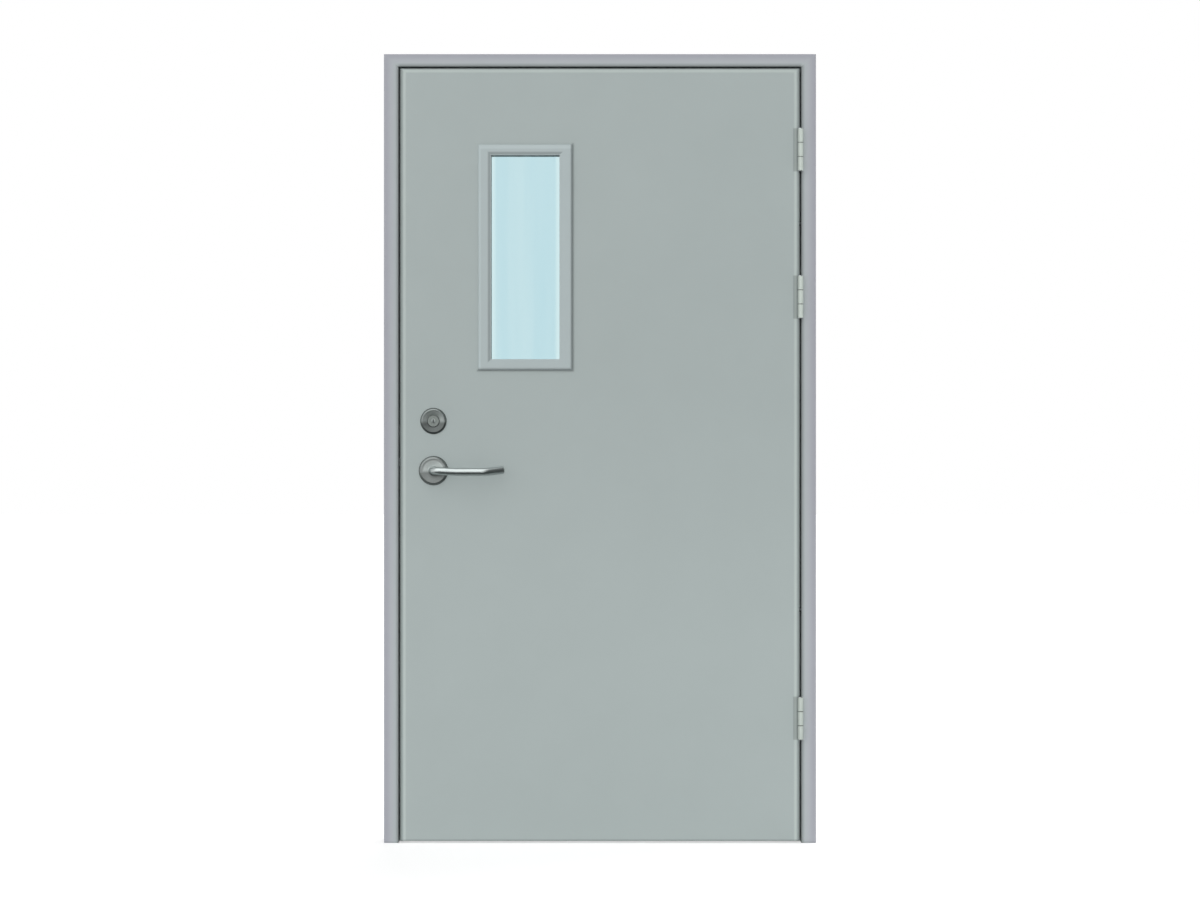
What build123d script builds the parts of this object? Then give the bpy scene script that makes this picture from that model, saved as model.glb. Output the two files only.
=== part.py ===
from build123d import *
import os
from math import radians, sin

# A single-leaf steel fire door in a three-sided pressed steel frame, closed, pull side to the front.
# +X runs to the hinge side, -Y out of the pull face and +Z up. The origin is on the floor, halfway
# across the door and halfway through the leaf. Sizes are in millimetres.

# Frame
frame_width = 1150.0
frame_height = 2100.0
frame_depth = 110.0
frame_sheet = 1.5
frame_fold = 2.5
jamb_face = 39.0
head_face = 33.5
stop_height = 18.0
stop_gap = 4.0
wall_return = 15.0

# Leaf
leaf_thickness = 50.0
edge_gap = 5.0
head_gap = 5.0
floor_gap = 5.0
leaf_sheet = 1.0
leaf_fold = 2.0
skin_seam = 0.6
channel_sheet = 1.5
channel_fold = 2.0
channel_flange = 30.0
fitting_clearance = 0.1

# Turned pieces have many narrow flats in place of a round. Small fasteners, the holes that they fill
# and hidden bores have fewer.
turned_sides = 32
fastener_sides = 12

# Frame fixings
fixing_bottom = 220.0
fixing_top_margin = 200.0
fixing_count = 4
fixing_bore_radius = 5.25
sleeve_radius = 8.5
sleeve_wall = 2.5
base_plate_thickness = 4.0
base_bolt_radius = 5.0
base_bolt_spacing = 60.0

# Seals
seal_width = 9.0
seal_inset = 1.5
seal_clearance = 0.3
seal_round = 2.5
strip_width = 10.0
strip_thickness = 2.0
strip_inset = 2.0
strip_end_margin = 6.0

# Hinges
top_hinge_drop = 216.5
middle_hinge_drop = 608.5
bottom_hinge_rise = 327.0
hinge_height = 111.0
hinge_plate_width = 33.0
knuckle_radius = 7.5
knuckle_face_gap = 0.5
knuckle_count = 3
knuckle_play = 0.15
washer_thickness = 1.5
washer_radius = 7.0
washer_bore_clearance = 0.3
pin_radius = 4.0
pin_clearance = 0.05
pin_head_radius = 6.8
pin_head_height = 2.0
plate_clearance = 0.2
hinge_screw_radius = 2.4
hinge_screw_head_radius = 4.6
hinge_screw_length = 6.5
hinge_screw_rows = (-38.0, 0.0, 38.0)
hinge_screw_insets = (11.0, 23.0, 11.0)
reinforcement_thickness = 5.0
reinforcement_overhang = 20.0
reinforcement_width = 44.0

# Hinge-side security bolts
security_bolt_drop = 411.5
security_bolt_rise = 615.0
security_bolt_radius = 6.0
security_bolt_tip_radius = 4.5
security_bolt_reach = 12.0
security_bolt_flange_size = 20.0
security_bolt_flange = 3.0
security_hole_radius = 8.5
security_cup_wall = 1.2
security_cup_depth = 14.0
security_cup_rim = 13.0

# Vision panel
window_side_margin = 207.5
window_top_margin = 202.5
glazing_width = 250.0
glazing_height = 600.0
glazing_side_face = 34.0
glazing_end_face = 28.5
glazing_rise = 8.0
glazing_bevel = 3.0
glazing_sheet = 1.5
glazing_round = 1.0
glazing_foot = 10.0
cutout_margin_x = 18.0
cutout_margin_z = 14.0
glass_thickness = 25.0
glass_edge_clearance = 4.0
tape_thickness = 2.0
liner_flange = 16.0
setting_block_length = 40.0
setting_block_offset = 55.0
glazing_screw_radius = 1.9
glazing_screw_head_radius = 3.6
glazing_screw_head_height = 1.6
glazing_screw_edge = 5.0
glazing_screw_end_margin = 80.0

# Lock case and faceplate
backset = 88.0
lever_height = 991.0
cylinder_spacing = 132.0
lock_case_end_margin = 42.0
lock_case_width = 20.0
lock_case_wall = 1.5
lock_case_behind_axis = 26.0
faceplate_end_margin = 17.0
faceplate_width = 24.0
faceplate_corner = 3.0
faceplate_screw_margin = 8.0
faceplate_screw_radius = 2.4
faceplate_screw_head_radius = 4.3
fixing_tab_thickness = 3.0
fixing_tab_height = 30.0
fixing_tab_width = 28.0
slide_clearance = 0.35

# Latch bolt
latch_throw = 12.0
latch_height = 20.0
latch_width = 14.0
latch_nose = 3.0
latch_head_length = 30.0
latch_tail_height = 6.0
latch_tail_width = 5.0
latch_hook = 6.0
lever_turn = 45.0

# Follower and spindle
spindle_side = 8.0
spindle_end = 58.0
follower_hub_radius = 10.0
follower_hub_width = 13.0
follower_journal_radius = 8.0
follower_arm_width = 6.0
follower_tip_radius = 4.0

# Dead bolt and cam
dead_bolt_drop = 26.0
dead_bolt_size = 22.0
dead_bolt_width = 14.0
dead_bolt_head_length = 50.0
dead_bolt_tail_width = 5.0
dead_bolt_tail_drop = 8.0
dead_bolt_throw = 20.0
dead_bolt_slot_clearance = 1.0
dead_bolt_tail_end = 5.0
cam_width = 6.0
cam_hub_radius = 7.0
cam_tip_radius = 4.0
cam_arm_width = 4.0
cam_side_clearance = 1.0
bolt_turn = 90.0

# Levers and roses
lever_projection = 65.0
lever_tube_radius = 10.0
lever_length = 187.0
lever_slope_length = 62.0
lever_level_length = 78.0
lever_drop = 3.0
lever_tip_rise = 5.0
lever_tip_return = 20.0
lever_tip_chamfer = 3.0
lever_elbow_radius = 24.0
lever_bend_radius = 48.0
lever_neck_radius = 11.0
lever_neck_proud = 3.0
rose_radius = 39.0
rose_height = 10.0
rose_shoulder = 4.0
rose_dish = 2.0
rose_clearance = 0.35
rose_bolt_radius = 2.9
rose_bolt_offset = 19.0
rose_bolt_head_radius = 4.5
rose_bolt_head_height = 3.0
rose_bolt_hold = 6.0

# Cylinder, collar and thumbturn
cylinder_radius = 15.0
cylinder_proud = 9.0
collar_radius = 35.0
collar_height = 7.0
collar_shoulder = 3.0
collar_dish = 2.0
plug_radius = 6.5
plug_proud = 0.8
plug_clearance = 0.05
keyway_width = 2.2
keyway_height = 8.5
keyway_depth = 22.0
thumbturn_rose_radius = 26.0
thumbturn_rose_height = 6.0
thumbturn_rose_shoulder = 3.0
thumbturn_length = 38.0
thumbturn_thickness = 9.0
thumbturn_gap = 1.0
thumbturn_depth = 25.0
thumbturn_foot_radius = 9.0
thumbturn_foot_depth = 6.0
thumbturn_chamfer = 2.0

# Strike
strike_end_inset = 30.0
strike_width = 24.0
strike_corner = 3.0
strike_window_clearance = 1.6
strike_screw_head_radius = 3.8
strike_screw_margin = 8.0
strike_screw_length = 8.0
strike_box_wall = 1.5
strike_box_depth = 32.0
strike_box_end_margin = 8.0
strike_flange_width = 40.0
strike_flange_overlap = 10.0

# Places that follow from the sizes above
half_width = frame_width / 2
leaf_front = -leaf_thickness / 2
leaf_back = leaf_thickness / 2
frame_back = leaf_front + frame_depth
stop_face = leaf_back + stop_gap
rebate_x = half_width - jamb_face
soffit_x = rebate_x - stop_height
head_stop_height = stop_height * head_face / jamb_face
rebate_z = frame_height - head_face
soffit_z = rebate_z - head_stop_height
leaf_edge = rebate_x - edge_gap
leaf_top = rebate_z - head_gap
leaf_height = leaf_top - floor_gap
leaf_center_z = floor_gap + leaf_height / 2
fixing_step = (frame_height - fixing_top_margin - fixing_bottom) / (fixing_count - 1)
fixing_heights = [fixing_bottom + index * fixing_step for index in range(fixing_count)]
hinge_heights = {
    "top": leaf_top - top_hinge_drop,
    "middle": leaf_top - middle_hinge_drop,
    "bottom": floor_gap + bottom_hinge_rise,
}
security_bolt_heights = (leaf_top - security_bolt_drop, floor_gap + security_bolt_rise)
window_center_x = window_side_margin + glazing_width / 2 - leaf_edge
window_center_z = leaf_top - window_top_margin - glazing_height / 2
channel_web = leaf_edge - leaf_sheet
channel_inside = channel_web - channel_sheet
channel_end = channel_web - channel_flange
channel_y = leaf_back - leaf_sheet
core_y = channel_y - channel_sheet - fitting_clearance
plate_thickness = leaf_sheet + channel_sheet
pin_x = leaf_edge + edge_gap / 2
pin_y = leaf_front - knuckle_radius - knuckle_face_gap
plate_front = leaf_front - plate_clearance
plate_back = plate_front + hinge_plate_width
knuckle_step = washer_thickness + 2 * knuckle_play
knuckle_height = (hinge_height - (knuckle_count - 1) * knuckle_step) / knuckle_count
lock_x = backset - leaf_edge
cylinder_height = lever_height + cylinder_spacing
dead_bolt_height = cylinder_height - dead_bolt_drop
lock_center_z = (lever_height + cylinder_height) / 2
lock_case_height = cylinder_spacing + 2 * lock_case_end_margin
faceplate_height = lock_case_height + 2 * faceplate_end_margin
strike_height = faceplate_height - 2 * strike_end_inset
lock_front_x = plate_thickness - leaf_edge
lock_back_x = lock_x + lock_case_behind_axis
follower_arm = latch_throw / radians(lever_turn)
latch_z = lever_height + follower_arm + follower_tip_radius + slide_clearance + latch_tail_height / 2
cam_arm = dead_bolt_throw / 2 / sin(radians(bolt_turn / 2))
cutout_width = glazing_width - 2 * cutout_margin_x
cutout_height = glazing_height - 2 * cutout_margin_z
glass_back = glass_thickness / 2
fixing_y = (stop_face + frame_back) / 2

os.makedirs("parts", exist_ok=True)


def save(piece, label):
    piece.part.label = label
    export_step(piece.part, f"parts/{label}.step")


# A box between two limits along each axis, cut away unless told otherwise.
def block(x_limits, y_limits, z_limits, mode=Mode.SUBTRACT):
    sizes = [high - low for low, high in (x_limits, y_limits, z_limits)]
    middle = [(high + low) / 2 for low, high in (x_limits, y_limits, z_limits)]
    with Locations(tuple(middle)):
        Box(*sizes, mode=mode)


# Near-round outlines in the sketch that is being drawn. A round has its corners on the circle and a
# bore has its flats on it, so the one turns freely in the other.
def small_round(radius, mode=Mode.ADD):
    RegularPolygon(radius, fastener_sides, mode=mode)


def small_bore(radius, mode=Mode.SUBTRACT):
    RegularPolygon(radius, fastener_sides, major_radius=False, mode=mode)


def turned_round(radius, mode=Mode.ADD):
    RegularPolygon(radius, turned_sides, mode=mode)


def turned_bore(radius, mode=Mode.SUBTRACT):
    RegularPolygon(radius, turned_sides, major_radius=False, mode=mode)


# The limits of a length about its middle.
def about(middle, length):
    return (middle - length / 2, middle + length / 2)


# A plane across X, Y or Z whose sketch axes are the other two row axes.
def across_x(x):
    return Plane.YZ.offset(x)


def across_y(y):
    return Plane.XZ.offset(-y)


# Frame members. The folded section is drawn by its outside, in distance from the frame's outer edge
# and in depth. The head's stop is lower in proportion to its face, so each corner is one flat mitre.
def section_depths(face, stop):
    return (
        (0.0, leaf_front + wall_return),
        (0.0, leaf_front),
        (face, leaf_front),
        (face, stop_face),
        (face + stop, stop_face),
        (face + stop, frame_back),
        (0.0, frame_back),
        (0.0, frame_back - wall_return),
    )


def mitre_plane(side):
    return Plane(origin=(side * half_width, 0, frame_height), z_dir=(side * head_face, 0, -jamb_face))


# side is 1 at the hinges and -1 at the lock
def make_jamb(side):
    corners = [(side * (half_width - u), y) for u, y in section_depths(jamb_face, stop_height)]
    with BuildPart() as jamb:
        with BuildSketch(Plane.XY):
            with BuildLine():
                FilletPolyline(*corners, radius=frame_fold)
                offset(amount=frame_sheet, side=Side.LEFT if side < 0 else Side.RIGHT)
            make_face()
        extrude(amount=frame_height)
        split(bisect_by=mitre_plane(side), keep=Keep.TOP)
        with BuildSketch(across_x(side * soffit_x)):
            with Locations(*[(fixing_y, z) for z in fixing_heights]):
                Circle(fixing_bore_radius)
        extrude(amount=2 * frame_sheet, both=True, mode=Mode.SUBTRACT)
    return jamb


lock_jamb_blank = make_jamb(-1)
hinge_jamb_blank = make_jamb(1)

# The strike is let into the lock jamb, flush with its rebate.
with BuildPart() as lock_jamb:
    add(lock_jamb_blank.part)
    with BuildSketch(across_x(-rebate_x)):
        with Locations((0, lock_center_z)):
            RectangleRounded(
                strike_width + 2 * fitting_clearance,
                strike_height + 2 * fitting_clearance,
                strike_corner + fitting_clearance,
            )
    extrude(amount=2 * frame_sheet, both=True, mode=Mode.SUBTRACT)
save(lock_jamb, "lock_jamb")

with BuildPart() as hinge_jamb:
    add(hinge_jamb_blank.part)
    for height in hinge_heights.values():
        block(
            (rebate_x - frame_sheet, rebate_x + plate_thickness + plate_clearance),
            (plate_front - frame_sheet, plate_back + plate_clearance),
            about(height, hinge_height + 2 * plate_clearance),
        )
    with BuildSketch(across_x(rebate_x)):
        with Locations(*[(0, z) for z in security_bolt_heights]):
            small_round(security_hole_radius)
    extrude(amount=2 * frame_sheet, both=True, mode=Mode.SUBTRACT)
save(hinge_jamb, "hinge_jamb")

with BuildPart() as frame_head:
    head_corners = [(y, frame_height - v) for v, y in section_depths(head_face, head_stop_height)]
    with BuildSketch(across_x(-half_width)):
        with BuildLine():
            FilletPolyline(*head_corners, radius=frame_fold)
            offset(amount=frame_sheet, side=Side.LEFT)
        make_face()
    extrude(amount=frame_width)
    split(bisect_by=mitre_plane(1), keep=Keep.BOTTOM)
    split(bisect_by=mitre_plane(-1), keep=Keep.BOTTOM)
save(frame_head, "frame_head")

# Sleeves keep the folded jambs from being crushed by the wall bolts.
with BuildPart() as wall_fixing_sleeves:
    for side in (-1, 1):
        with BuildSketch(across_x(side * (soffit_x + frame_sheet))):
            with Locations(*[(fixing_y, z) for z in fixing_heights]):
                small_round(sleeve_radius)
                small_round(sleeve_radius - sleeve_wall, mode=Mode.SUBTRACT)
        extrude(amount=side * (half_width - soffit_x - frame_sheet))
save(wall_fixing_sleeves, "wall_fixing_sleeves")

with BuildPart() as base_plates:
    plate_margin = frame_sheet + slide_clearance
    for side in (-1, 1):
        with BuildSketch(Plane.XY):
            with Locations((side * (rebate_x + half_width) / 2, leaf_front + frame_depth / 2)):
                Rectangle(half_width - rebate_x - 2 * plate_margin, frame_depth - 2 * plate_margin)
                with GridLocations(0, base_bolt_spacing, 1, 2):
                    Circle(base_bolt_radius, mode=Mode.SUBTRACT)
        extrude(amount=base_plate_thickness)
save(base_plates, "base_plates")

# One length of seal runs up the lock jamb, along the head and down the hinge jamb.
with BuildPart() as smoke_seal:
    seal_inner_x = soffit_x + seal_inset
    seal_inner_z = soffit_z + seal_inset
    with BuildSketch(across_y(stop_face)):
        with Locations((0, floor_gap)):
            Rectangle(
                2 * (seal_inner_x + seal_width),
                seal_inner_z + seal_width - floor_gap,
                align=(Align.CENTER, Align.MIN),
            )
            Rectangle(
                2 * seal_inner_x,
                seal_inner_z - floor_gap,
                align=(Align.CENTER, Align.MIN),
                mode=Mode.SUBTRACT,
            )
    extrude(amount=stop_gap - seal_clearance)
    fillet(smoke_seal.faces().sort_by(Axis.Y)[0].edges(), radius=seal_round)
save(smoke_seal, "smoke_seal")


# Countersunk screws are drawn with the head's top at the origin and the shank down -Z.
def make_screw(head_radius, shank_radius, length):
    head_height = head_radius - shank_radius
    with BuildPart() as screw:
        with BuildSketch(Plane.XY):
            small_round(head_radius)
        with BuildSketch(Plane.XY.offset(-head_height)):
            small_round(shank_radius)
        loft(ruled=True)
        with BuildSketch(Plane.XY.offset(-head_height)):
            small_round(shank_radius)
        extrude(amount=head_height - length)
    return screw.part


# The same form, a little larger all round, cuts the hole that the screw goes into.
def make_screw_hole(head_radius, shank_radius, length):
    return make_screw(
        head_radius + fitting_clearance,
        shank_radius + fitting_clearance,
        length + fitting_clearance,
    )


# Strike: plate, the box behind it and its screws, all centred on the lock.
strike_face_x = -rebate_x
strike_back_x = strike_face_x - frame_sheet
strike_screw_z = strike_height / 2 - strike_screw_margin
strike_screw_places = [
    Plane(origin=(strike_face_x, 0, lock_center_z + sign * strike_screw_z), z_dir=(1, 0, 0))
    for sign in (-1, 1)
]
strike_window_width = max(latch_width, dead_bolt_width) + 2 * strike_window_clearance
strike_screw_size = (strike_screw_head_radius, faceplate_screw_radius, strike_screw_length)
strike_screw = make_screw(*strike_screw_size)
strike_screw_hole = make_screw_hole(*strike_screw_size)

with BuildPart() as strike_plate:
    with BuildSketch(across_x(strike_face_x)):
        with Locations((0, lock_center_z)):
            RectangleRounded(strike_width, strike_height, strike_corner)
        with Locations((0, latch_z)):
            Rectangle(strike_window_width, latch_height + 2 * strike_window_clearance, mode=Mode.SUBTRACT)
        with Locations((0, dead_bolt_height)):
            Rectangle(strike_window_width, dead_bolt_size + 2 * strike_window_clearance, mode=Mode.SUBTRACT)
    extrude(amount=-frame_sheet)
    with Locations(*strike_screw_places):
        add(strike_screw_hole, mode=Mode.SUBTRACT)
save(strike_plate, "strike_plate")

with BuildPart() as strike_box:
    box_bottom = latch_z - latch_height / 2 - strike_box_end_margin
    box_top = dead_bolt_height + dead_bolt_size / 2 + strike_box_end_margin
    box_inner_width = strike_window_width + 2 * slide_clearance
    block(
        (strike_back_x - strike_box_wall, strike_back_x),
        about(0, strike_flange_width),
        about(lock_center_z, strike_height + 2 * strike_flange_overlap),
        mode=Mode.ADD,
    )
    block(
        (strike_back_x - strike_box_depth, strike_back_x),
        about(0, box_inner_width + 2 * strike_box_wall),
        (box_bottom - strike_box_wall, box_top + strike_box_wall),
        mode=Mode.ADD,
    )
    block(
        (strike_back_x - strike_box_depth + strike_box_wall, strike_back_x),
        about(0, box_inner_width),
        (box_bottom, box_top),
    )
    with Locations(*strike_screw_places):
        add(strike_screw_hole, mode=Mode.SUBTRACT)
save(strike_box, "strike_box")

with BuildPart() as strike_screws:
    with Locations(*strike_screw_places):
        add(strike_screw)
save(strike_screws, "strike_screws")


# Hinges. side is 1 for the half let into the jamb and -1 for the half let into the leaf's edge.
def plate_x_limits(side):
    inner = pin_x + side * edge_gap / 2
    return sorted((inner, inner + side * plate_thickness))


def knuckle_floor(height, index):
    return height - hinge_height / 2 + index * (knuckle_height + knuckle_step)


def hinge_screw_places(height, side):
    face_x = pin_x + side * edge_gap / 2
    return [
        Plane(origin=(face_x, plate_front + inset, height + row), z_dir=(-side, 0, 0))
        for row, inset in zip(hinge_screw_rows, hinge_screw_insets)
    ]


hinge_screw_size = (hinge_screw_head_radius, hinge_screw_radius, hinge_screw_length)
hinge_screw = make_screw(*hinge_screw_size)
hinge_screw_hole = make_screw_hole(*hinge_screw_size)


def make_hinge_half(height, side):
    first_knuckle = 0 if side > 0 else 1
    x_low, x_high = plate_x_limits(side)
    with BuildPart() as half:
        block(
            (x_low, x_high),
            (plate_front, plate_back),
            about(height, hinge_height),
            mode=Mode.ADD,
        )
        for index in range(first_knuckle, knuckle_count, 2):
            with BuildSketch(Plane.XY.offset(knuckle_floor(height, index))):
                with Locations((pin_x, pin_y)):
                    turned_round(knuckle_radius)
                with Locations(((x_low + x_high) / 2, pin_y)):
                    Rectangle(x_high - x_low, plate_front - pin_y, align=(Align.CENTER, Align.MIN))
                with Locations((pin_x, pin_y)):
                    small_bore(pin_radius + pin_clearance)
            extrude(amount=knuckle_height)
        with Locations(*hinge_screw_places(height, side)):
            add(hinge_screw_hole, mode=Mode.SUBTRACT)
    return half


for name, height in hinge_heights.items():
    save(make_hinge_half(height, 1), f"frame_hinge_leaf_{name}")
    save(make_hinge_half(height, -1), f"door_hinge_leaf_{name}")

with BuildPart() as hinge_pins:
    for height in hinge_heights.values():
        pin_bottom = height - hinge_height / 2
        with BuildSketch(Plane.XY.offset(pin_bottom)):
            with Locations((pin_x, pin_y)):
                small_round(pin_radius)
        extrude(amount=hinge_height)
        for cap_bottom in (pin_bottom - pin_head_height, pin_bottom + hinge_height):
            with BuildSketch(Plane.XY.offset(cap_bottom)):
                with Locations((pin_x, pin_y)):
                    small_round(pin_head_radius)
            extrude(amount=pin_head_height)
save(hinge_pins, "hinge_pins")

with BuildPart() as hinge_washers:
    for height in hinge_heights.values():
        for index in range(knuckle_count - 1):
            washer_floor = knuckle_floor(height, index) + knuckle_height + knuckle_play
            with BuildSketch(Plane.XY.offset(washer_floor)):
                with Locations((pin_x, pin_y)):
                    small_round(washer_radius)
                    small_bore(pin_radius + washer_bore_clearance)
            extrude(amount=washer_thickness)
save(hinge_washers, "hinge_washers")


def make_hinge_screws(side):
    with BuildPart() as screws:
        for height in hinge_heights.values():
            with Locations(*hinge_screw_places(height, side)):
                add(hinge_screw)
    return screws


save(make_hinge_screws(1), "frame_hinge_screws")
save(make_hinge_screws(-1), "door_hinge_screws")


# Tapped plates behind the sheet carry the hinge screws. The hinge plate is thicker than the jamb's
# sheet, so the jamb's reinforcements have a shallow seat for it.
def make_reinforcements(side, back_of_sheet, front_y):
    seat_x = sorted((back_of_sheet, pin_x + side * (edge_gap / 2 + plate_thickness)))
    with BuildPart() as plates:
        for height in hinge_heights.values():
            block(
                sorted((back_of_sheet, back_of_sheet + side * reinforcement_thickness)),
                (front_y, front_y + reinforcement_width),
                about(height, hinge_height + 2 * reinforcement_overhang),
                mode=Mode.ADD,
            )
        for height in hinge_heights.values():
            if seat_x[1] - seat_x[0] > fitting_clearance:
                block(
                    seat_x,
                    (front_y, plate_back + plate_clearance),
                    about(height, hinge_height + 2 * plate_clearance),
                )
            with Locations(*hinge_screw_places(height, side)):
                add(hinge_screw_hole, mode=Mode.SUBTRACT)
    return plates


frame_plate_y = leaf_front + frame_fold
door_plate_y = channel_fold - channel_y
save(make_reinforcements(1, rebate_x + frame_sheet, frame_plate_y), "frame_hinge_reinforcements")
save(make_reinforcements(-1, channel_inside, door_plate_y), "door_hinge_reinforcements")

# Security bolts on the hinge edge stand on a square plate behind the stile. Pressed cups behind the
# jamb take their tips.
with BuildPart() as security_bolts:
    with BuildSketch(across_x(channel_inside)):
        with Locations(*[(0, z) for z in security_bolt_heights]):
            Circle(security_bolt_radius)
    extrude(amount=plate_thickness + security_bolt_reach)
    chamfer(
        security_bolts.faces().filter_by(Axis.X).group_by(Axis.X)[-1].edges(),
        length=security_bolt_radius - security_bolt_tip_radius,
    )
    with BuildSketch(across_x(channel_inside)):
        with Locations(*[(0, z) for z in security_bolt_heights]):
            Rectangle(security_bolt_flange_size, security_bolt_flange_size)
    extrude(amount=-security_bolt_flange)
save(security_bolts, "security_bolts")

with BuildPart() as security_bolt_cups:
    cup_radius = security_hole_radius + 2 * security_cup_wall
    for radius, depth, mode in (
        (security_cup_rim, security_cup_wall, Mode.ADD),
        (cup_radius, security_cup_depth, Mode.ADD),
        (cup_radius - security_cup_wall, security_cup_depth - security_cup_wall, Mode.SUBTRACT),
    ):
        with BuildSketch(across_x(rebate_x + frame_sheet)):
            with Locations(*[(0, z) for z in security_bolt_heights]):
                small_round(radius)
        extrude(amount=depth, mode=mode)
save(security_bolt_cups, "security_bolt_cups")


# Leaf. The faceplate, the hinge plates and the security bolts are let through the skins and the
# stiles alike, so these cuts are shared. Each is made in the part that is being built.
def cut_faceplate_pocket():
    with BuildSketch(across_x(-leaf_edge)) as pocket:
        with Locations((0, lock_center_z)):
            RectangleRounded(
                faceplate_width + 2 * fitting_clearance,
                faceplate_height + 2 * fitting_clearance,
                faceplate_corner + fitting_clearance,
            )
    extrude(pocket.sketch, amount=2 * plate_thickness, both=True, mode=Mode.SUBTRACT)


def cut_hinge_edge():
    for height in hinge_heights.values():
        block(
            (leaf_edge - plate_thickness - plate_clearance, leaf_edge + leaf_sheet),
            (plate_front - leaf_sheet, plate_back + plate_clearance),
            about(height, hinge_height + 2 * plate_clearance),
        )
    with BuildSketch(across_x(leaf_edge)) as holes:
        with Locations(*[(0, z) for z in security_bolt_heights]):
            Circle(security_bolt_radius + fitting_clearance)
    extrude(holes.sketch, amount=2 * plate_thickness, both=True, mode=Mode.SUBTRACT)


rose_bolt_places = [(lock_x - rose_bolt_offset, lever_height), (lock_x + rose_bolt_offset, lever_height)]
glazing_screw_x = cutout_width / 2 + glazing_screw_edge
glazing_screw_z = glazing_height / 2 - glazing_screw_end_margin
glazing_screw_places = [
    (window_center_x + side * glazing_screw_x, window_center_z + row * glazing_screw_z)
    for side in (-1, 1)
    for row in (-1, 0, 1)
]


# Holes through a face of the leaf or of the lock case for what crosses it.
def lock_bores(y, lever_radius):
    with BuildSketch(across_y(y)) as bores:
        with Locations((lock_x, lever_height)):
            turned_bore(lever_radius, mode=Mode.ADD)
        with Locations(*rose_bolt_places):
            small_round(rose_bolt_radius + fitting_clearance)
        with Locations((lock_x, cylinder_height)):
            turned_bore(cylinder_radius + fitting_clearance, mode=Mode.ADD)
    return bores.sketch


def glazing_screw_holes(y):
    with BuildSketch(across_y(y)) as holes:
        with Locations(*glazing_screw_places):
            small_round(glazing_screw_radius + fitting_clearance)
    return holes.sketch


# A flat ring round the window, between two rectangles that share its centre.
def window_ring(y, outer, inner):
    with BuildSketch(across_y(y)) as ring:
        with Locations((window_center_x, window_center_z)):
            Rectangle(*outer)
            Rectangle(*inner, mode=Mode.SUBTRACT)
    return ring.sketch


def grown(sizes, margin):
    return (sizes[0] + 2 * margin, sizes[1] + 2 * margin)


cutout = (cutout_width, cutout_height)
sight = (glazing_width - 2 * glazing_side_face, glazing_height - 2 * glazing_end_face)


# side is -1 for the front tray and 1 for the back one. Both are folded towards each other over the
# leaf's edges and leave a narrow seam halfway.
def make_skin(side):
    face_y = side * leaf_back
    with BuildPart() as skin:
        with BuildSketch(across_y(face_y)):
            with Locations((0, leaf_center_z)):
                Rectangle(2 * leaf_edge, leaf_height)
        extrude(amount=side * (leaf_back - skin_seam / 2))
        fillet(skin.faces().sort_by(Axis.Y)[0 if side < 0 else -1].edges(), radius=leaf_fold)
        offset(amount=-leaf_sheet, openings=skin.faces().sort_by(Axis.Y)[-1 if side < 0 else 0])
        with BuildSketch(across_y(face_y)):
            with Locations((window_center_x, window_center_z)):
                Rectangle(*cutout)
        extrude(amount=2 * leaf_sheet, both=True, mode=Mode.SUBTRACT)
        bores = lock_bores(face_y, lever_neck_radius + rose_clearance)
        extrude(bores, amount=2 * leaf_sheet, both=True, mode=Mode.SUBTRACT)
        if side > 0:
            extrude(glazing_screw_holes(face_y), amount=2 * leaf_sheet, both=True, mode=Mode.SUBTRACT)
        cut_faceplate_pocket()
        cut_hinge_edge()
    return skin


save(make_skin(-1), "front_skin")
save(make_skin(1), "back_skin")


# Folded channels stiffen all four edges. side is 1 at the hinges and -1 at the lock.
def make_stile(side):
    corners = (
        (side * channel_end, -channel_y),
        (side * channel_web, -channel_y),
        (side * channel_web, channel_y),
        (side * channel_end, channel_y),
    )
    with BuildPart() as stile:
        with BuildSketch(Plane.XY.offset(floor_gap + leaf_fold)):
            with BuildLine():
                FilletPolyline(*corners, radius=channel_fold)
                offset(amount=channel_sheet, side=Side.LEFT if side > 0 else Side.RIGHT)
            make_face()
        extrude(amount=leaf_height - 2 * leaf_fold)
        if side > 0:
            cut_hinge_edge()
        else:
            cut_faceplate_pocket()
    return stile


save(make_stile(-1), "lock_stile")
save(make_stile(1), "hinge_stile")


# side is 1 for the top channel and -1 for the bottom one
def make_rail(side):
    web_z = leaf_center_z + side * (leaf_height / 2 - leaf_sheet)
    flange_z = web_z - side * channel_flange
    corners = (
        (-channel_y, flange_z),
        (-channel_y, web_z),
        (channel_y, web_z),
        (channel_y, flange_z),
    )
    with BuildPart() as rail:
        with BuildSketch(across_x(-channel_end)):
            with BuildLine():
                FilletPolyline(*corners, radius=channel_fold)
                offset(amount=channel_sheet, side=Side.RIGHT if side > 0 else Side.LEFT)
            make_face()
        extrude(amount=2 * channel_end)
    return rail


save(make_rail(1), "top_channel")
save(make_rail(-1), "bottom_channel")

with BuildPart() as window_liner:
    extrude(window_ring(-channel_y, grown(cutout, channel_sheet), cutout), amount=-2 * channel_y)
    for side in (-1, 1):
        flange = window_ring(side * channel_y, grown(cutout, liner_flange), cutout)
        extrude(flange, amount=side * channel_sheet)
    extrude(glazing_screw_holes(channel_y), amount=2 * channel_sheet, both=True, mode=Mode.SUBTRACT)
save(window_liner, "window_liner")

fixing_tab_places = [lock_center_z + sign * faceplate_height / 2 for sign in (-1, 1)]
lock_case_y = about(0, lock_case_width)
lock_case_z = about(lock_center_z, lock_case_height)

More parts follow.
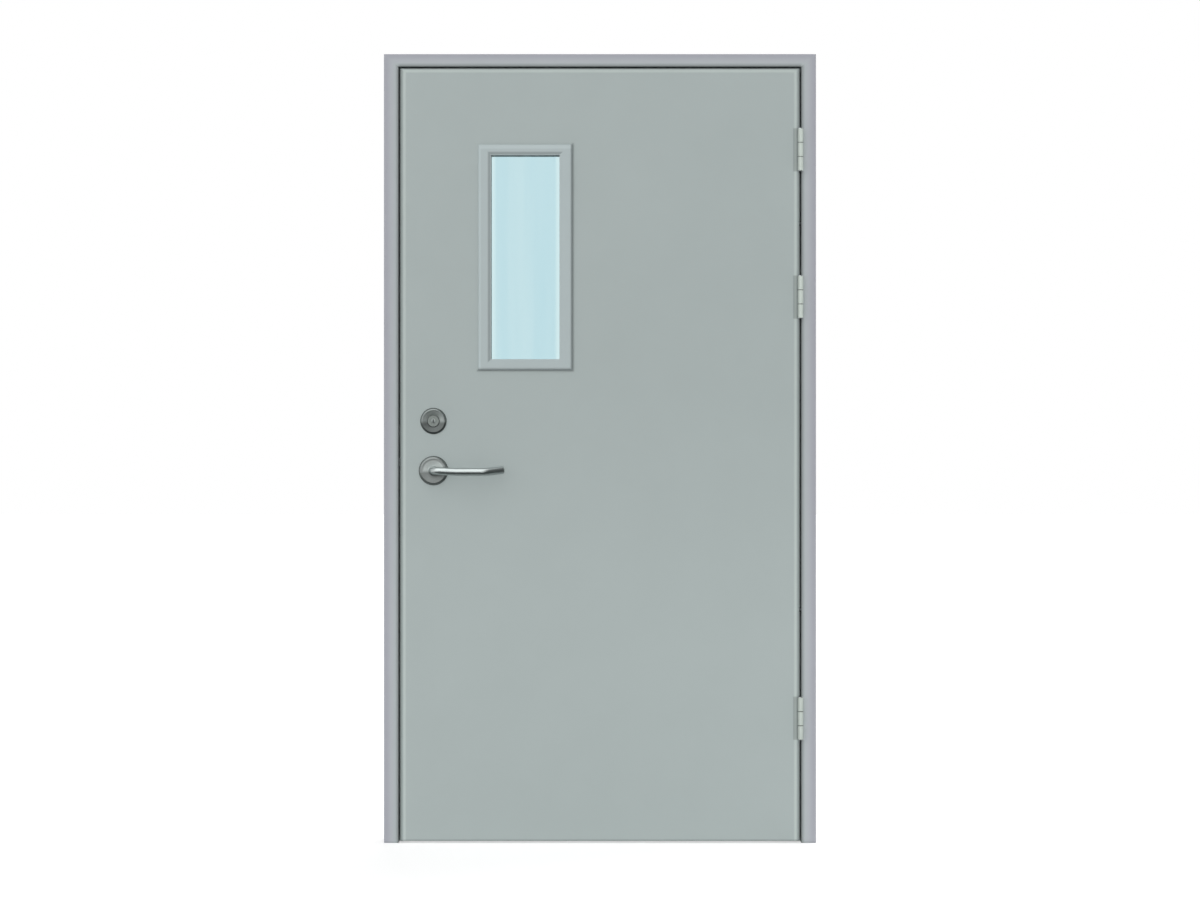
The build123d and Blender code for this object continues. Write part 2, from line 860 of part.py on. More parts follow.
# The board fills the leaf. It is thinner at the edges, between the flanges of the channels, and it
# is cut right through where the lock case stands.
with BuildPart() as core_board:
    with BuildSketch(across_y(-channel_y)):
        with Locations((0, leaf_center_z)):
            field_height = leaf_height - 2 * (leaf_sheet + channel_flange + fitting_clearance)
            Rectangle(2 * (channel_end - fitting_clearance), field_height)
        with Locations((window_center_x, window_center_z)):
            Rectangle(*grown(cutout, liner_flange + fitting_clearance), mode=Mode.SUBTRACT)
    extrude(amount=-2 * channel_y)
    with BuildSketch(across_y(-core_y)):
        with Locations((0, leaf_center_z)):
            edge_margin = leaf_sheet + channel_fold
            Rectangle(2 * (leaf_edge - edge_margin), leaf_height - 2 * edge_margin)
        with Locations((window_center_x, window_center_z)):
            Rectangle(*grown(cutout, channel_sheet + fitting_clearance), mode=Mode.SUBTRACT)
    extrude(amount=-2 * core_y)
    block(
        (-leaf_edge, lock_back_x + fitting_clearance),
        about(0, leaf_thickness),
        about(lock_center_z, lock_case_height + 2 * fitting_clearance),
    )
    for z in fixing_tab_places:
        block(
            (-leaf_edge, fixing_tab_thickness + fitting_clearance - channel_inside),
            about(0, fixing_tab_width + 2 * fitting_clearance),
            about(z, fixing_tab_height + 2 * fitting_clearance),
        )
    for height in hinge_heights.values():
        block(
            (channel_inside - reinforcement_thickness - fitting_clearance, leaf_edge),
            about(0, leaf_thickness),
            about(height, hinge_height + 2 * (reinforcement_overhang + fitting_clearance)),
        )
    for z in security_bolt_heights:
        block(
            (channel_inside - security_bolt_flange - fitting_clearance, leaf_edge),
            about(0, security_bolt_flange_size + 2 * fitting_clearance),
            about(z, security_bolt_flange_size + 2 * fitting_clearance),
        )
save(core_board, "core_board")

# Intumescent strips on the edges, near the back face and clear of the faceplate and the hinges.
strip_y = (leaf_back - strip_inset - strip_width, leaf_back - strip_inset)
with BuildPart() as side_strips:
    for side in (-1, 1):
        block(
            sorted((side * leaf_edge, side * (leaf_edge + strip_thickness))),
            strip_y,
            about(leaf_center_z, leaf_height - 2 * strip_end_margin),
            mode=Mode.ADD,
        )
save(side_strips, "side_strips")

with BuildPart() as top_strip:
    block(
        about(0, 2 * (leaf_edge - strip_end_margin)),
        strip_y,
        (leaf_top, leaf_top + strip_thickness),
        mode=Mode.ADD,
    )
save(top_strip, "top_strip")

# Vision panel, from the glass outwards.
with BuildPart() as glass_pane:
    with BuildSketch(across_y(0)):
        with Locations((window_center_x, window_center_z)):
            Rectangle(*grown(cutout, -glass_edge_clearance))
    extrude(amount=glass_back, both=True)
save(glass_pane, "glass_pane")

with BuildPart() as setting_blocks:
    for offset_x in (-setting_block_offset, setting_block_offset):
        for edge in (-1, 1):
            cutout_z = window_center_z + edge * cutout_height / 2
            block(
                about(window_center_x + offset_x, setting_block_length),
                about(0, glass_thickness),
                sorted((cutout_z, cutout_z - edge * glass_edge_clearance)),
                mode=Mode.ADD,
            )
save(setting_blocks, "setting_blocks")

with BuildPart() as glazing_tapes:
    for side in (-1, 1):
        tape = window_ring(side * glass_back, grown(sight, glazing_foot), sight)
        extrude(tape, amount=-side * tape_thickness)
save(glazing_tapes, "glazing_tapes")


# A raised bevelled cover lies on the skin. Its leg runs down the opening to a foot on the glass.
def make_glazing_frame(side):
    cover_top = side * (leaf_back + glazing_rise)
    foot_y = side * (glass_back + tape_thickness)
    with BuildPart() as glazing:
        with BuildSketch(across_y(side * leaf_back)):
            with Locations((window_center_x, window_center_z)):
                Rectangle(glazing_width, glazing_height)
        extrude(amount=-side * glazing_rise)
        chamfer(glazing.faces().sort_by(Axis.Y)[0 if side < 0 else -1].edges(), length=glazing_bevel)
        offset(amount=-glazing_sheet, openings=glazing.faces().sort_by(Axis.Y)[-1 if side < 0 else 0])
        with BuildSketch(across_y(cover_top)):
            with Locations((window_center_x, window_center_z)):
                Rectangle(*sight)
        extrude(amount=glazing_rise, both=True, mode=Mode.SUBTRACT)
        leg = window_ring(cover_top, grown(sight, glazing_sheet), sight)
        extrude(leg, amount=side * abs(cover_top - foot_y))
        foot = window_ring(foot_y, grown(sight, glazing_foot), sight)
        extrude(foot, amount=-side * glazing_sheet)
        cover = glazing.faces().filter_by(Axis.Y).sort_by(Axis.Y)[0 if side < 0 else -1]
        fillet(cover.inner_wires()[0].edges(), radius=glazing_round)
        if side > 0:
            extrude(glazing_screw_holes(cover_top), amount=2 * glazing_sheet, both=True, mode=Mode.SUBTRACT)
    return glazing


save(make_glazing_frame(-1), "front_glazing_frame")
save(make_glazing_frame(1), "back_glazing_frame")

with BuildPart() as glazing_screws:
    cover_y = leaf_back + glazing_rise
    with BuildSketch(across_y(cover_y)):
        with Locations(*glazing_screw_places):
            small_round(glazing_screw_head_radius)
    extrude(amount=-glazing_screw_head_height)
    with BuildSketch(across_y(cover_y)):
        with Locations(*glazing_screw_places):
            small_round(glazing_screw_radius)
    extrude(amount=glazing_rise + plate_thickness)
save(glazing_screws, "glazing_screws")

# Lock case: a folded tray open to the back, and its cover.
with BuildPart() as lock_case:
    block(
        (lock_front_x, lock_back_x),
        (lock_case_y[0], lock_case_y[1] - lock_case_wall),
        lock_case_z,
        mode=Mode.ADD,
    )
    offset(amount=-lock_case_wall, openings=lock_case.faces().sort_by(Axis.Y)[-1])
    case_bores = lock_bores(lock_case_y[0], follower_journal_radius + fitting_clearance)
    extrude(case_bores, amount=2 * lock_case_wall, both=True, mode=Mode.SUBTRACT)
    for z, size in ((latch_z, latch_height), (dead_bolt_height, dead_bolt_size)):
        block(
            (lock_front_x - lock_case_wall, lock_front_x + 2 * lock_case_wall),
            about(0, latch_width + 2 * slide_clearance),
            about(z, size + 2 * slide_clearance),
        )
save(lock_case, "lock_case")

with BuildPart() as lock_cover:
    with BuildSketch(across_y(lock_case_y[1])):
        with Locations(((lock_front_x + lock_back_x) / 2, lock_center_z)):
            Rectangle(lock_back_x - lock_front_x, lock_case_height)
    extrude(amount=lock_case_wall)
    cover_bores = lock_bores(lock_case_y[1], follower_journal_radius + fitting_clearance)
    extrude(cover_bores, amount=2 * lock_case_wall, both=True, mode=Mode.SUBTRACT)
save(lock_cover, "lock_cover")

faceplate_screw_z = faceplate_height / 2 - faceplate_screw_margin
faceplate_screw_places = [
    Plane(origin=(-leaf_edge, 0, lock_center_z + sign * faceplate_screw_z), z_dir=(-1, 0, 0))
    for sign in (-1, 1)
]
faceplate_screw_size = (
    faceplate_screw_head_radius,
    faceplate_screw_radius,
    plate_thickness + fixing_tab_thickness,
)
faceplate_screw = make_screw(*faceplate_screw_size)
faceplate_screw_hole = make_screw_hole(*faceplate_screw_size)

with BuildPart() as lock_faceplate:
    with BuildSketch(across_x(-leaf_edge)):
        with Locations((0, lock_center_z)):
            RectangleRounded(faceplate_width, faceplate_height, faceplate_corner)
        with Locations((0, latch_z)):
            Rectangle(*grown((latch_width, latch_height), slide_clearance), mode=Mode.SUBTRACT)
        with Locations((0, dead_bolt_height)):
            Rectangle(*grown((dead_bolt_width, dead_bolt_size), slide_clearance), mode=Mode.SUBTRACT)
    extrude(amount=plate_thickness)
    with Locations(*faceplate_screw_places):
        add(faceplate_screw_hole, mode=Mode.SUBTRACT)
save(lock_faceplate, "lock_faceplate")

with BuildPart() as lock_fixing_tabs:
    for z in fixing_tab_places:
        block(
            (-channel_inside, fixing_tab_thickness - channel_inside),
            about(0, fixing_tab_width),
            about(z, fixing_tab_height),
            mode=Mode.ADD,
        )
    with Locations(*faceplate_screw_places):
        add(faceplate_screw_hole, mode=Mode.SUBTRACT)
save(lock_fixing_tabs, "lock_fixing_tabs")

with BuildPart() as faceplate_screws:
    with Locations(*faceplate_screw_places):
        add(faceplate_screw)
save(faceplate_screws, "faceplate_screws")

# Latch train. The follower's arm stands up and pushes the latch's hook back as the levers turn.
with BuildPart() as follower:
    for radius, width in (
        (follower_hub_radius, follower_hub_width),
        (follower_journal_radius, lock_case_width),
    ):
        with BuildSketch(across_y(0)):
            with Locations((lock_x, lever_height)):
                turned_round(radius)
        extrude(amount=width / 2, both=True)
    with BuildSketch(across_y(0)):
        with Locations((lock_x, lever_height)):
            Rectangle(2 * follower_tip_radius, follower_arm, align=(Align.CENTER, Align.MIN))
        with Locations((lock_x, lever_height + follower_arm)):
            turned_round(follower_tip_radius)
    extrude(amount=follower_arm_width / 2, both=True)
    with BuildSketch(across_y(0)):
        with Locations((lock_x, lever_height)):
            Rectangle(spindle_side + 2 * fitting_clearance, spindle_side + 2 * fitting_clearance)
    extrude(amount=lock_case_width, both=True, mode=Mode.SUBTRACT)
save(follower, "follower")

latch_tip_x = -leaf_edge - latch_throw
latch_head_back = latch_tip_x + latch_head_length
latch_hook_x = lock_x + follower_tip_radius + slide_clearance
with BuildPart() as latch_bolt:
    with BuildSketch(Plane.XY.offset(latch_z - latch_height / 2)):
        with BuildLine():
            Polyline(
                (latch_tip_x, -latch_width / 2),
                (latch_tip_x, latch_nose - latch_width / 2),
                (-leaf_edge, latch_width / 2),
                (latch_head_back, latch_width / 2),
                (latch_head_back, -latch_width / 2),
                close=True,
            )
        make_face()
    extrude(amount=latch_height)
    fillet(latch_bolt.edges().filter_by(Axis.Z).sort_by(Axis.X)[0:2], radius=latch_nose / 3)
    block(
        (latch_head_back, latch_hook_x + latch_hook),
        about(0, latch_tail_width),
        about(latch_z, latch_tail_height),
        mode=Mode.ADD,
    )
    block(
        (latch_hook_x, latch_hook_x + latch_hook),
        about(0, latch_tail_width),
        (lever_height + follower_hub_radius + cam_side_clearance, latch_z),
        mode=Mode.ADD,
    )
save(latch_bolt, "latch_bolt")

# Dead bolt train. The cam's round tip rides in a slot in the bolt's tail, which is open upwards.
cam_slot_x = lock_x + dead_bolt_throw / 2
cam_slot_half = cam_tip_radius + dead_bolt_slot_clearance
dead_bolt_back = dead_bolt_head_length - leaf_edge
with BuildPart() as dead_bolt:
    block(
        (-leaf_edge, dead_bolt_back),
        about(0, dead_bolt_width),
        about(dead_bolt_height, dead_bolt_size),
        mode=Mode.ADD,
    )
    chamfer(dead_bolt.faces().sort_by(Axis.X)[0].edges(), length=dead_bolt_slot_clearance)
    block(
        (dead_bolt_back, cam_slot_x + cam_slot_half + dead_bolt_tail_end),
        about(0, dead_bolt_tail_width),
        (
            dead_bolt_height - dead_bolt_tail_drop,
            cylinder_height - cam_hub_radius - cam_side_clearance,
        ),
        mode=Mode.ADD,
    )
    block(
        about(cam_slot_x, 2 * cam_slot_half),
        about(0, dead_bolt_width),
        (
            cylinder_height - cam_arm - cam_tip_radius - dead_bolt_slot_clearance,
            cylinder_height,
        ),
    )
save(dead_bolt, "dead_bolt")

with BuildPart() as bolt_cam:
    with BuildSketch(across_y(0)):
        with Locations((lock_x, cylinder_height)):
            turned_round(cam_hub_radius)
            Rectangle(cam_arm_width, cam_arm, rotation=bolt_turn / 2, align=(Align.CENTER, Align.MAX))
        with Locations((cam_slot_x, cylinder_height - dead_bolt_throw / 2)):
            turned_round(cam_tip_radius)
    extrude(amount=cam_width / 2, both=True)
save(bolt_cam, "bolt_cam")

# Two round cylinder bodies screw into the lock case from either face and leave room for the cam.
cylinder_inner_y = cam_width / 2 + cam_side_clearance
cylinder_front_y = leaf_back + cylinder_proud
cylinder_back_y = leaf_back + thumbturn_rose_height + thumbturn_gap / 2
with BuildPart() as cylinder_bodies:
    for side, outer_y in ((-1, cylinder_front_y), (1, cylinder_back_y)):
        with BuildSketch(across_y(side * cylinder_inner_y)):
            with Locations((lock_x, cylinder_height)):
                turned_round(cylinder_radius)
                turned_bore(plug_radius + plug_clearance)
        extrude(amount=-side * (outer_y - cylinder_inner_y))
save(cylinder_bodies, "cylinder_bodies")

with BuildPart() as key_plug:
    plug_back = cam_width / 2 + slide_clearance
    plug_front = cylinder_front_y + plug_proud
    with BuildSketch(across_y(-plug_back)):
        with Locations((lock_x, cylinder_height)):
            turned_round(plug_radius)
    extrude(amount=plug_front - plug_back)
    with BuildSketch(across_y(-plug_front)):
        with Locations((lock_x, cylinder_height)):
            Rectangle(keyway_width, keyway_height)
    extrude(amount=-keyway_depth, mode=Mode.SUBTRACT)
save(key_plug, "key_plug")


# A turned disc with a bevelled shoulder and a hollowed face, on the front (-1) or back (1) of the leaf.
# Each stage runs from one height and radius to the next.
def make_disc(center_z, side, outer, inner, height, shoulder, dish):
    rim = (height - shoulder, outer)
    brow = (height, outer - shoulder)
    with BuildPart() as disc:
        for first, last, mode in (
            ((0, outer), rim, Mode.ADD),
            (rim, brow, Mode.ADD),
            (brow, (height - dish, inner), Mode.SUBTRACT),
        ):
            for level, radius in (first, last):
                with BuildSketch(across_y(side * (leaf_back + level))):
                    with Locations((lock_x, center_z)):
                        turned_round(radius)
            loft(ruled=True, mode=mode)
        with BuildSketch(across_y(side * leaf_back)):
            with Locations((lock_x, center_z)):
                turned_bore(inner, mode=Mode.ADD)
        extrude(amount=-side * height, mode=Mode.SUBTRACT)
    return disc


# The through bolts are tapped into the front rose. Their heads bear on the back skin, under the
# back rose, so each rose has two pockets in its foot.
def make_rose(side, pocket_radius, pocket_depth):
    rose_bore = lever_neck_radius + rose_clearance
    blank = make_disc(lever_height, side, rose_radius, rose_bore, rose_height, rose_shoulder, rose_dish)
    with BuildPart() as rose:
        add(blank.part)
        with BuildSketch(across_y(side * leaf_back)):
            with Locations(*rose_bolt_places):
                small_round(pocket_radius + fitting_clearance)
        extrude(amount=-side * pocket_depth, mode=Mode.SUBTRACT)
    return rose


save(make_rose(-1, rose_bolt_radius, rose_bolt_hold), "front_rose")
save(make_rose(1, rose_bolt_head_radius, rose_bolt_head_height + slide_clearance), "back_rose")

with BuildPart() as rose_bolts:
    with BuildSketch(across_y(leaf_back)):
        with Locations(*rose_bolt_places):
            small_round(rose_bolt_head_radius)
    extrude(amount=-rose_bolt_head_height)
    with BuildSketch(across_y(leaf_back)):
        with Locations(*rose_bolt_places):
            small_round(rose_bolt_radius)
    extrude(amount=leaf_thickness + rose_bolt_hold - slide_clearance)
save(rose_bolts, "rose_bolts")

cylinder_collar = make_disc(
    cylinder_height,
    -1,
    collar_radius,
    cylinder_radius + fitting_clearance,
    collar_height,
    collar_shoulder,
    collar_dish,
)
save(cylinder_collar, "cylinder_collar")

thumbturn_rose = make_disc(
    cylinder_height,
    1,
    thumbturn_rose_radius,
    cylinder_radius + fitting_clearance,
    thumbturn_rose_height,
    thumbturn_rose_shoulder,
    thumbturn_gap,
)
save(thumbturn_rose, "thumbturn_rose")

# Lever: a bent tube on a short neck. It leaves the rose square to the leaf, turns along it and bends
# back towards it at the tip.
grip_y = lever_projection - lever_tube_radius - leaf_front
neck_top_y = leaf_back + rose_height + lever_neck_proud
neck_foot_y = leaf_back - leaf_sheet
grip_z = lever_height - lever_drop
lever_corners = (
    (lock_x, -neck_top_y, lever_height),
    (lock_x, -grip_y, lever_height),
    (lock_x + lever_slope_length, -grip_y, grip_z),
    (lock_x + lever_slope_length + lever_level_length, -grip_y, grip_z),
    (lock_x + lever_length, lever_tip_return - grip_y, grip_z + lever_tip_rise),
)
lever_radii = (lever_elbow_radius, lever_bend_radius, lever_bend_radius)
with BuildPart() as front_lever:
    with BuildLine():
        FilletPolyline(*lever_corners, radius=lever_radii)
    with BuildSketch(across_y(-neck_top_y)):
        with Locations((lock_x, lever_height)):
            Circle(lever_tube_radius)
    sweep()
    chamfer(front_lever.edges().sort_by(Axis.X)[-1], length=lever_tip_chamfer)
    with BuildSketch(across_y(-neck_foot_y)):
        with Locations((lock_x, lever_height)):
            Circle(lever_neck_radius)
    extrude(amount=neck_top_y - neck_foot_y)
    with BuildSketch(across_y(-neck_foot_y)):
        with Locations((lock_x, lever_height)):
            Rectangle(spindle_side + 2 * fitting_clearance, spindle_side + 2 * fitting_clearance)
    extrude(amount=spindle_end + cam_side_clearance - neck_foot_y, mode=Mode.SUBTRACT)
save(front_lever, "front_lever")

with BuildPart() as back_lever:
    mirror(front_lever.part, about=Plane.XZ)
save(back_lever, "back_lever")

with BuildPart() as spindle:
    with BuildSketch(across_y(0)):
        with Locations((lock_x, lever_height)):
            Rectangle(spindle_side, spindle_side)
    extrude(amount=spindle_end, both=True)
save(spindle, "spindle")

# Thumbturn: a shaft through the back cylinder body, a round foot and a flat blade.
with BuildPart() as thumbturn:
    foot_y = leaf_back + thumbturn_rose_height + thumbturn_gap
    with BuildSketch(across_y(cam_width / 2)):
        with Locations((lock_x, cylinder_height)):
            turned_round(plug_radius)
    extrude(amount=cam_width / 2 - foot_y)
    with BuildSketch(across_y(foot_y)):
        with Locations((lock_x, cylinder_height)):
            turned_round(thumbturn_foot_radius)
    extrude(amount=-thumbturn_foot_depth)
    with BuildSketch(across_y(foot_y)):
        with Locations((lock_x, cylinder_height)):
            SlotOverall(thumbturn_length, thumbturn_thickness, rotation=90)
    extrude(amount=-thumbturn_depth)
    chamfer(thumbturn.faces().sort_by(Axis.Y)[-1].edges(), length=thumbturn_chamfer)
save(thumbturn, "thumbturn")
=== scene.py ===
from math import cos, pi, radians, sin, tan

import bmesh
import bpy
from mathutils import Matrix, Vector


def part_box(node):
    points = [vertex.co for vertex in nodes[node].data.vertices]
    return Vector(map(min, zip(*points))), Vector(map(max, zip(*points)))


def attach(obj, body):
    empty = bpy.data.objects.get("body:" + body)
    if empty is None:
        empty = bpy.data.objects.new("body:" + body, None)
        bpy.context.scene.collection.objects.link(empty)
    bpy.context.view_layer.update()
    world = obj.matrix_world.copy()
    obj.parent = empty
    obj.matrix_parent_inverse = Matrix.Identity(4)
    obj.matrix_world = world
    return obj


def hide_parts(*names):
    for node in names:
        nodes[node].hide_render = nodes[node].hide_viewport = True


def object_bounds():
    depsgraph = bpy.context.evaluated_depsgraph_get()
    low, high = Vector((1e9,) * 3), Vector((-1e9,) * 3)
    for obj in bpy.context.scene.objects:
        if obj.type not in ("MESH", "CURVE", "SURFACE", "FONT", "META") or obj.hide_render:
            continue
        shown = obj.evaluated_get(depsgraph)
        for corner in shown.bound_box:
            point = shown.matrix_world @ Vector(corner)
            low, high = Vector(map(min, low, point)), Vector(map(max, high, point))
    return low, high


# A steel fire door with its frame, seen straight on from the pull side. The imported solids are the
# fixed frame. This script gives each of them its finish, puts finely rounded pieces in the place of the
# turned and bent ones, and sets up the floor, the light and the camera.
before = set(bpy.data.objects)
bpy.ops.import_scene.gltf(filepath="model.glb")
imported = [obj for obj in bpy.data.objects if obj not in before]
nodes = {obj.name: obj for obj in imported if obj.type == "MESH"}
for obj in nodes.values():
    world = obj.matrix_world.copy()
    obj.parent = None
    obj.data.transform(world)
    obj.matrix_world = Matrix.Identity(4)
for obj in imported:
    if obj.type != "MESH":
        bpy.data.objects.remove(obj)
cad_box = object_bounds()

MM = 0.001
X = Vector((1, 0, 0))
Y = Vector((0, 1, 0))
Z = Vector((0, 0, 1))

# Photograph: the door's front fills the same share of the picture from the same height
PHOTO_WIDTH_AT_DOOR = 3.194
CAMERA_HEIGHT = 1.046
CAMERA_SIDE = 0.0002
LENS = 100.0
SENSOR = 36.0
CLIP_END = 200.0

# Light: how bright the world is where it lights the part, and what the floor glows by where it is seen
WORLD_LEVEL = 0.32
FLOOR_LIFT = 0.52
FLOOR_LIFT_THROUGH_GLASS = 0.33


# Colours are written as they show on screen, 0 to 255.
def screen(red, green, blue):
    def linear(value):
        share = value / 255
        return share / 12.92 if share <= 0.04045 else ((share + 0.055) / 1.055) ** 2.4

    return (linear(red), linear(green), linear(blue), 1.0)


def scaled(color, factor):
    return tuple(min(1.0, channel * factor) for channel in color[:3]) + (1.0,)


# Places read from the frame
front_low, front_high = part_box("front_skin")
rose_low, rose_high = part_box("front_rose")
collar_low, collar_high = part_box("cylinder_collar")
pins_low, pins_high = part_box("hinge_pins")
cover_low, cover_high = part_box("front_glazing_frame")
cover_middle = (cover_low + cover_high) / 2
cover_half = (cover_high - cover_low) / 2
leaf_front = front_low.y
leaf_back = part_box("back_skin")[1].y
leaf_edge = front_high.x
leaf_top = front_high.z
frame_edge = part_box("hinge_jamb")[1].x
frame_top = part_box("frame_head")[1].z
turn_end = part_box("thumbturn")[1].y
lock_x = (rose_low.x + rose_high.x) / 2
lever_z = (rose_low.z + rose_high.z) / 2
cylinder_z = (collar_low.z + collar_high.z) / 2
pin_x = (pins_low.x + pins_high.x) / 2
pin_y = (pins_low.y + pins_high.y) / 2
pin_levels = {}
hinge_heights = {}
for place in ("top", "middle", "bottom"):
    low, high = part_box(f"frame_hinge_leaf_{place}")
    pin_levels[place] = (low.z + high.z) / 2
    hinge_heights[place] = high.z - low.z


# Most of a noise field's values lie between these two.
NOISE_LOW = 0.3
NOISE_HIGH = 0.7
NOISE_ROUGHNESS = 0.55

# A grain that isn't drawn out along any axis
EVEN = (1, 1, 1)

# Places of the colour sockets on Blender's Mix node
MIX_SHARE = 0
MIX_FIRST = 6
MIX_SECOND = 7
MIX_COLOR = 2


# A finish is a node tree that works by place on the object, in metres from the part's origin.
class Finish:
    def __init__(self, name):
        self.material = bpy.data.materials.new(name)
        self.material.use_nodes = True
        self.tree = self.material.node_tree
        self.shader = self.tree.nodes["Principled BSDF"]
        self.place = self.tree.nodes.new("ShaderNodeTexCoord").outputs["Object"]

    def node(self, kind, **settings):
        made = self.tree.nodes.new(kind)
        for key, value in settings.items():
            setattr(made, key, value)
        return made

    def link(self, source, target):
        self.tree.links.new(source, target)

    # A noise field. grain stretches it: a small number along an axis draws it out that way.
    def noise(self, scale, grain=EVEN, detail=3.0):
        stretch = self.node("ShaderNodeMapping")
        stretch.inputs["Scale"].default_value = grain
        self.link(self.place, stretch.inputs["Vector"])
        field = self.node("ShaderNodeTexNoise")
        field.inputs["Scale"].default_value = scale
        field.inputs["Detail"].default_value = detail
        field.inputs["Roughness"].default_value = NOISE_ROUGHNESS
        self.link(stretch.outputs["Vector"], field.inputs["Vector"])
        return field.outputs["Fac"]

    def ranged(self, value, low, high, new_low, new_high, smooth=False):
        found = self.node("ShaderNodeMapRange")
        found.interpolation_type = "SMOOTHSTEP" if smooth else "LINEAR"
        self.link(value, found.inputs["Value"])
        for socket, number in (
            ("From Min", low),
            ("From Max", high),
            ("To Min", new_low),
            ("To Max", new_high),
        ):
            found.inputs[socket].default_value = number
        return found.outputs["Result"]

    # A noise field that runs from low to high.
    def noise_between(self, low, high, scale, grain=EVEN):
        return self.ranged(self.noise(scale, grain), NOISE_LOW, NOISE_HIGH, low, high)

    def math(self, operation, first, second=None):
        made = self.node("ShaderNodeMath", operation=operation)
        for socket, value in zip(made.inputs, (first, second)):
            if isinstance(value, (int, float)):
                socket.default_value = value
            elif value is not None:
                self.link(value, socket)
        return made.outputs[0]

    def axis(self, letter):
        split = self.node("ShaderNodeSeparateXYZ")
        self.link(self.place, split.inputs[0])
        return split.outputs[letter]

    # How far the point lies from middle along an axis, less half: negative inside that stretch.
    def outside(self, letter, middle, half=0.0):
        away = self.math("ABSOLUTE", self.math("SUBTRACT", self.axis(letter), middle))
        return self.math("SUBTRACT", away, half)

    # A share of 1 where value is under low, falling softly to 0 at high.
    def near(self, value, low, high):
        return self.ranged(value, low, high, 1.0, 0.0, smooth=True)

    # color times factor. color is a colour or a socket, factor is a socket.
    def tinted(self, color, factor):
        made = self.node("ShaderNodeVectorMath", operation="SCALE")
        if isinstance(color, tuple):
            made.inputs[0].default_value = color[:3]
        else:
            self.link(color, made.inputs[0])
        self.link(factor, made.inputs["Scale"])
        return made.outputs[0]

    # A factor of 1, less depth where share is 1.
    def shade(self, share, depth):
        return self.ranged(share, 0.0, 1.0, 1.0, 1.0 - depth)

    def mixed(self, share, first, second):
        made = self.node("ShaderNodeMix", data_type="RGBA")
        self.link(share, made.inputs[MIX_SHARE])
        for socket, value in ((MIX_FIRST, first), (MIX_SECOND, second)):
            if isinstance(value, tuple):
                made.inputs[socket].default_value = value
            else:
                self.link(value, made.inputs[socket])
        return made.outputs[MIX_COLOR]

    def ramp(self, share, stops):
        made = self.node("ShaderNodeValToRGB")
        elements = made.color_ramp.elements
        elements[0].position, elements[0].color = stops[0]
        elements[1].position, elements[1].color = stops[-1]
        for position, color in stops[1:-1]:
            elements.new(position).color = color
        self.link(share, made.inputs["Fac"])
        return made.outputs["Color"]

    # A colour that varies a little about color, which is a colour or a function that makes a socket of
    # it, by place on the object.
    def vary(self, color, amount, scale, grain=EVEN):
        if callable(color):
            color = color(self)
        if isinstance(color, tuple):
            share = self.noise_between(0.0, 1.0, scale, grain)
            return self.mixed(share, scaled(color, 1 - amount), scaled(color, 1 + amount))
        return self.tinted(color, self.noise_between(1 - amount, 1 + amount, scale, grain))

    def color(self, socket):
        self.link(socket, self.shader.inputs["Base Color"])

    def rough(self, low, high, scale, grain=EVEN):
        self.link(self.noise_between(low, high, scale, grain), self.shader.inputs["Roughness"])

    def bump(self, height, depth, strength=1.0):
        made = self.node("ShaderNodeBump")
        made.inputs["Strength"].default_value = strength
        made.inputs["Distance"].default_value = depth
        self.link(height, made.inputs["Height"])
        self.link(made.outputs["Normal"], self.shader.inputs["Normal"])


# Powder coat: a fine orange peel, patches of slightly different gloss and faint cloudiness.
PEEL_SCALE = 420.0
PEEL_DEPTH = 0.04 * MM
CLOUD_SCALE = 5.0
CLOUD_AMOUNT = 0.012
PAINT_GLOSS = (0.46, 0.60)
PAINT_GLOSS_SCALE = 9.0
PAINT_SPECULAR = 0.35


def paint(name, color):
    finish = Finish(name)
    finish.color(finish.vary(color, CLOUD_AMOUNT, CLOUD_SCALE))
    finish.rough(*PAINT_GLOSS, PAINT_GLOSS_SCALE)
    finish.bump(finish.noise(PEEL_SCALE, detail=2.0), PEEL_DEPTH)
    finish.shader.inputs["Specular IOR Level"].default_value = PAINT_SPECULAR
    return finish.material


# The frame is bluer at its outer edge, where painted shade also darkens it, and greener beside the leaf.
# Painted shade darkens the fold beside the leaf, but not behind the hinges, and the foot of the jambs.
FRAME_OUTER = screen(161, 163, 171)
FRAME_MIDDLE = screen(170, 174, 179)
FRAME_INNER = screen(172, 181, 181)
FRAME_STOPS = ((0.0, FRAME_OUTER), (0.18, FRAME_OUTER), (0.5, FRAME_MIDDLE), (1.0, FRAME_INNER))
JAMB_FACE = 39 * MM
HEAD_FACE = 33.5 * MM
FOLD_INSIDE = 2 * MM
FOLD_REACH = 11 * MM
FOLD_DEPTH = 0.58
FOLD_SHADE_FRONT = 2 * MM
FOLD_SHADE_BACK = 8 * MM
FOLD_SHADE_END = 12 * MM
HINGE_CLEAR_REACH = 30 * MM
HINGE_SOFT_EDGE = 4 * MM
FOOT_START = 1 * MM
FOOT_REACH = 7 * MM
JAMB_FOOT_DEPTH = 0.18


# A share of 1 at the hinges, as far as reach beside their pins.
def hinge_zone(finish, reach):
    found = 0.0
    for place, level in pin_levels.items():
        beyond = finish.outside("Z", level, hinge_heights[place] / 2)
        found = finish.math("MAXIMUM", found, finish.near(beyond, 0.0, HINGE_SOFT_EDGE))
    beside = finish.near(finish.outside("X", pin_x), reach, reach + HINGE_SOFT_EDGE)
    return finish.math("MULTIPLY", found, beside)


# Painted shade on the front, next to a fold that lies at distance from the point.
def fold_share(finish, distance):
    near_fold = finish.near(distance, -FOLD_INSIDE, FOLD_REACH)
    depth = finish.math("SUBTRACT", finish.axis("Y"), leaf_front)
    near_front = finish.near(depth, FOLD_SHADE_FRONT, FOLD_SHADE_BACK)
    return finish.math("MULTIPLY", near_fold, near_front)


# A share of 1 at the foot of a piece, which stands at the level foot, where painted shade darkens it.
def foot_share(finish, foot):
    return finish.near(finish.axis("Z"), foot + FOOT_START, foot + FOOT_REACH)
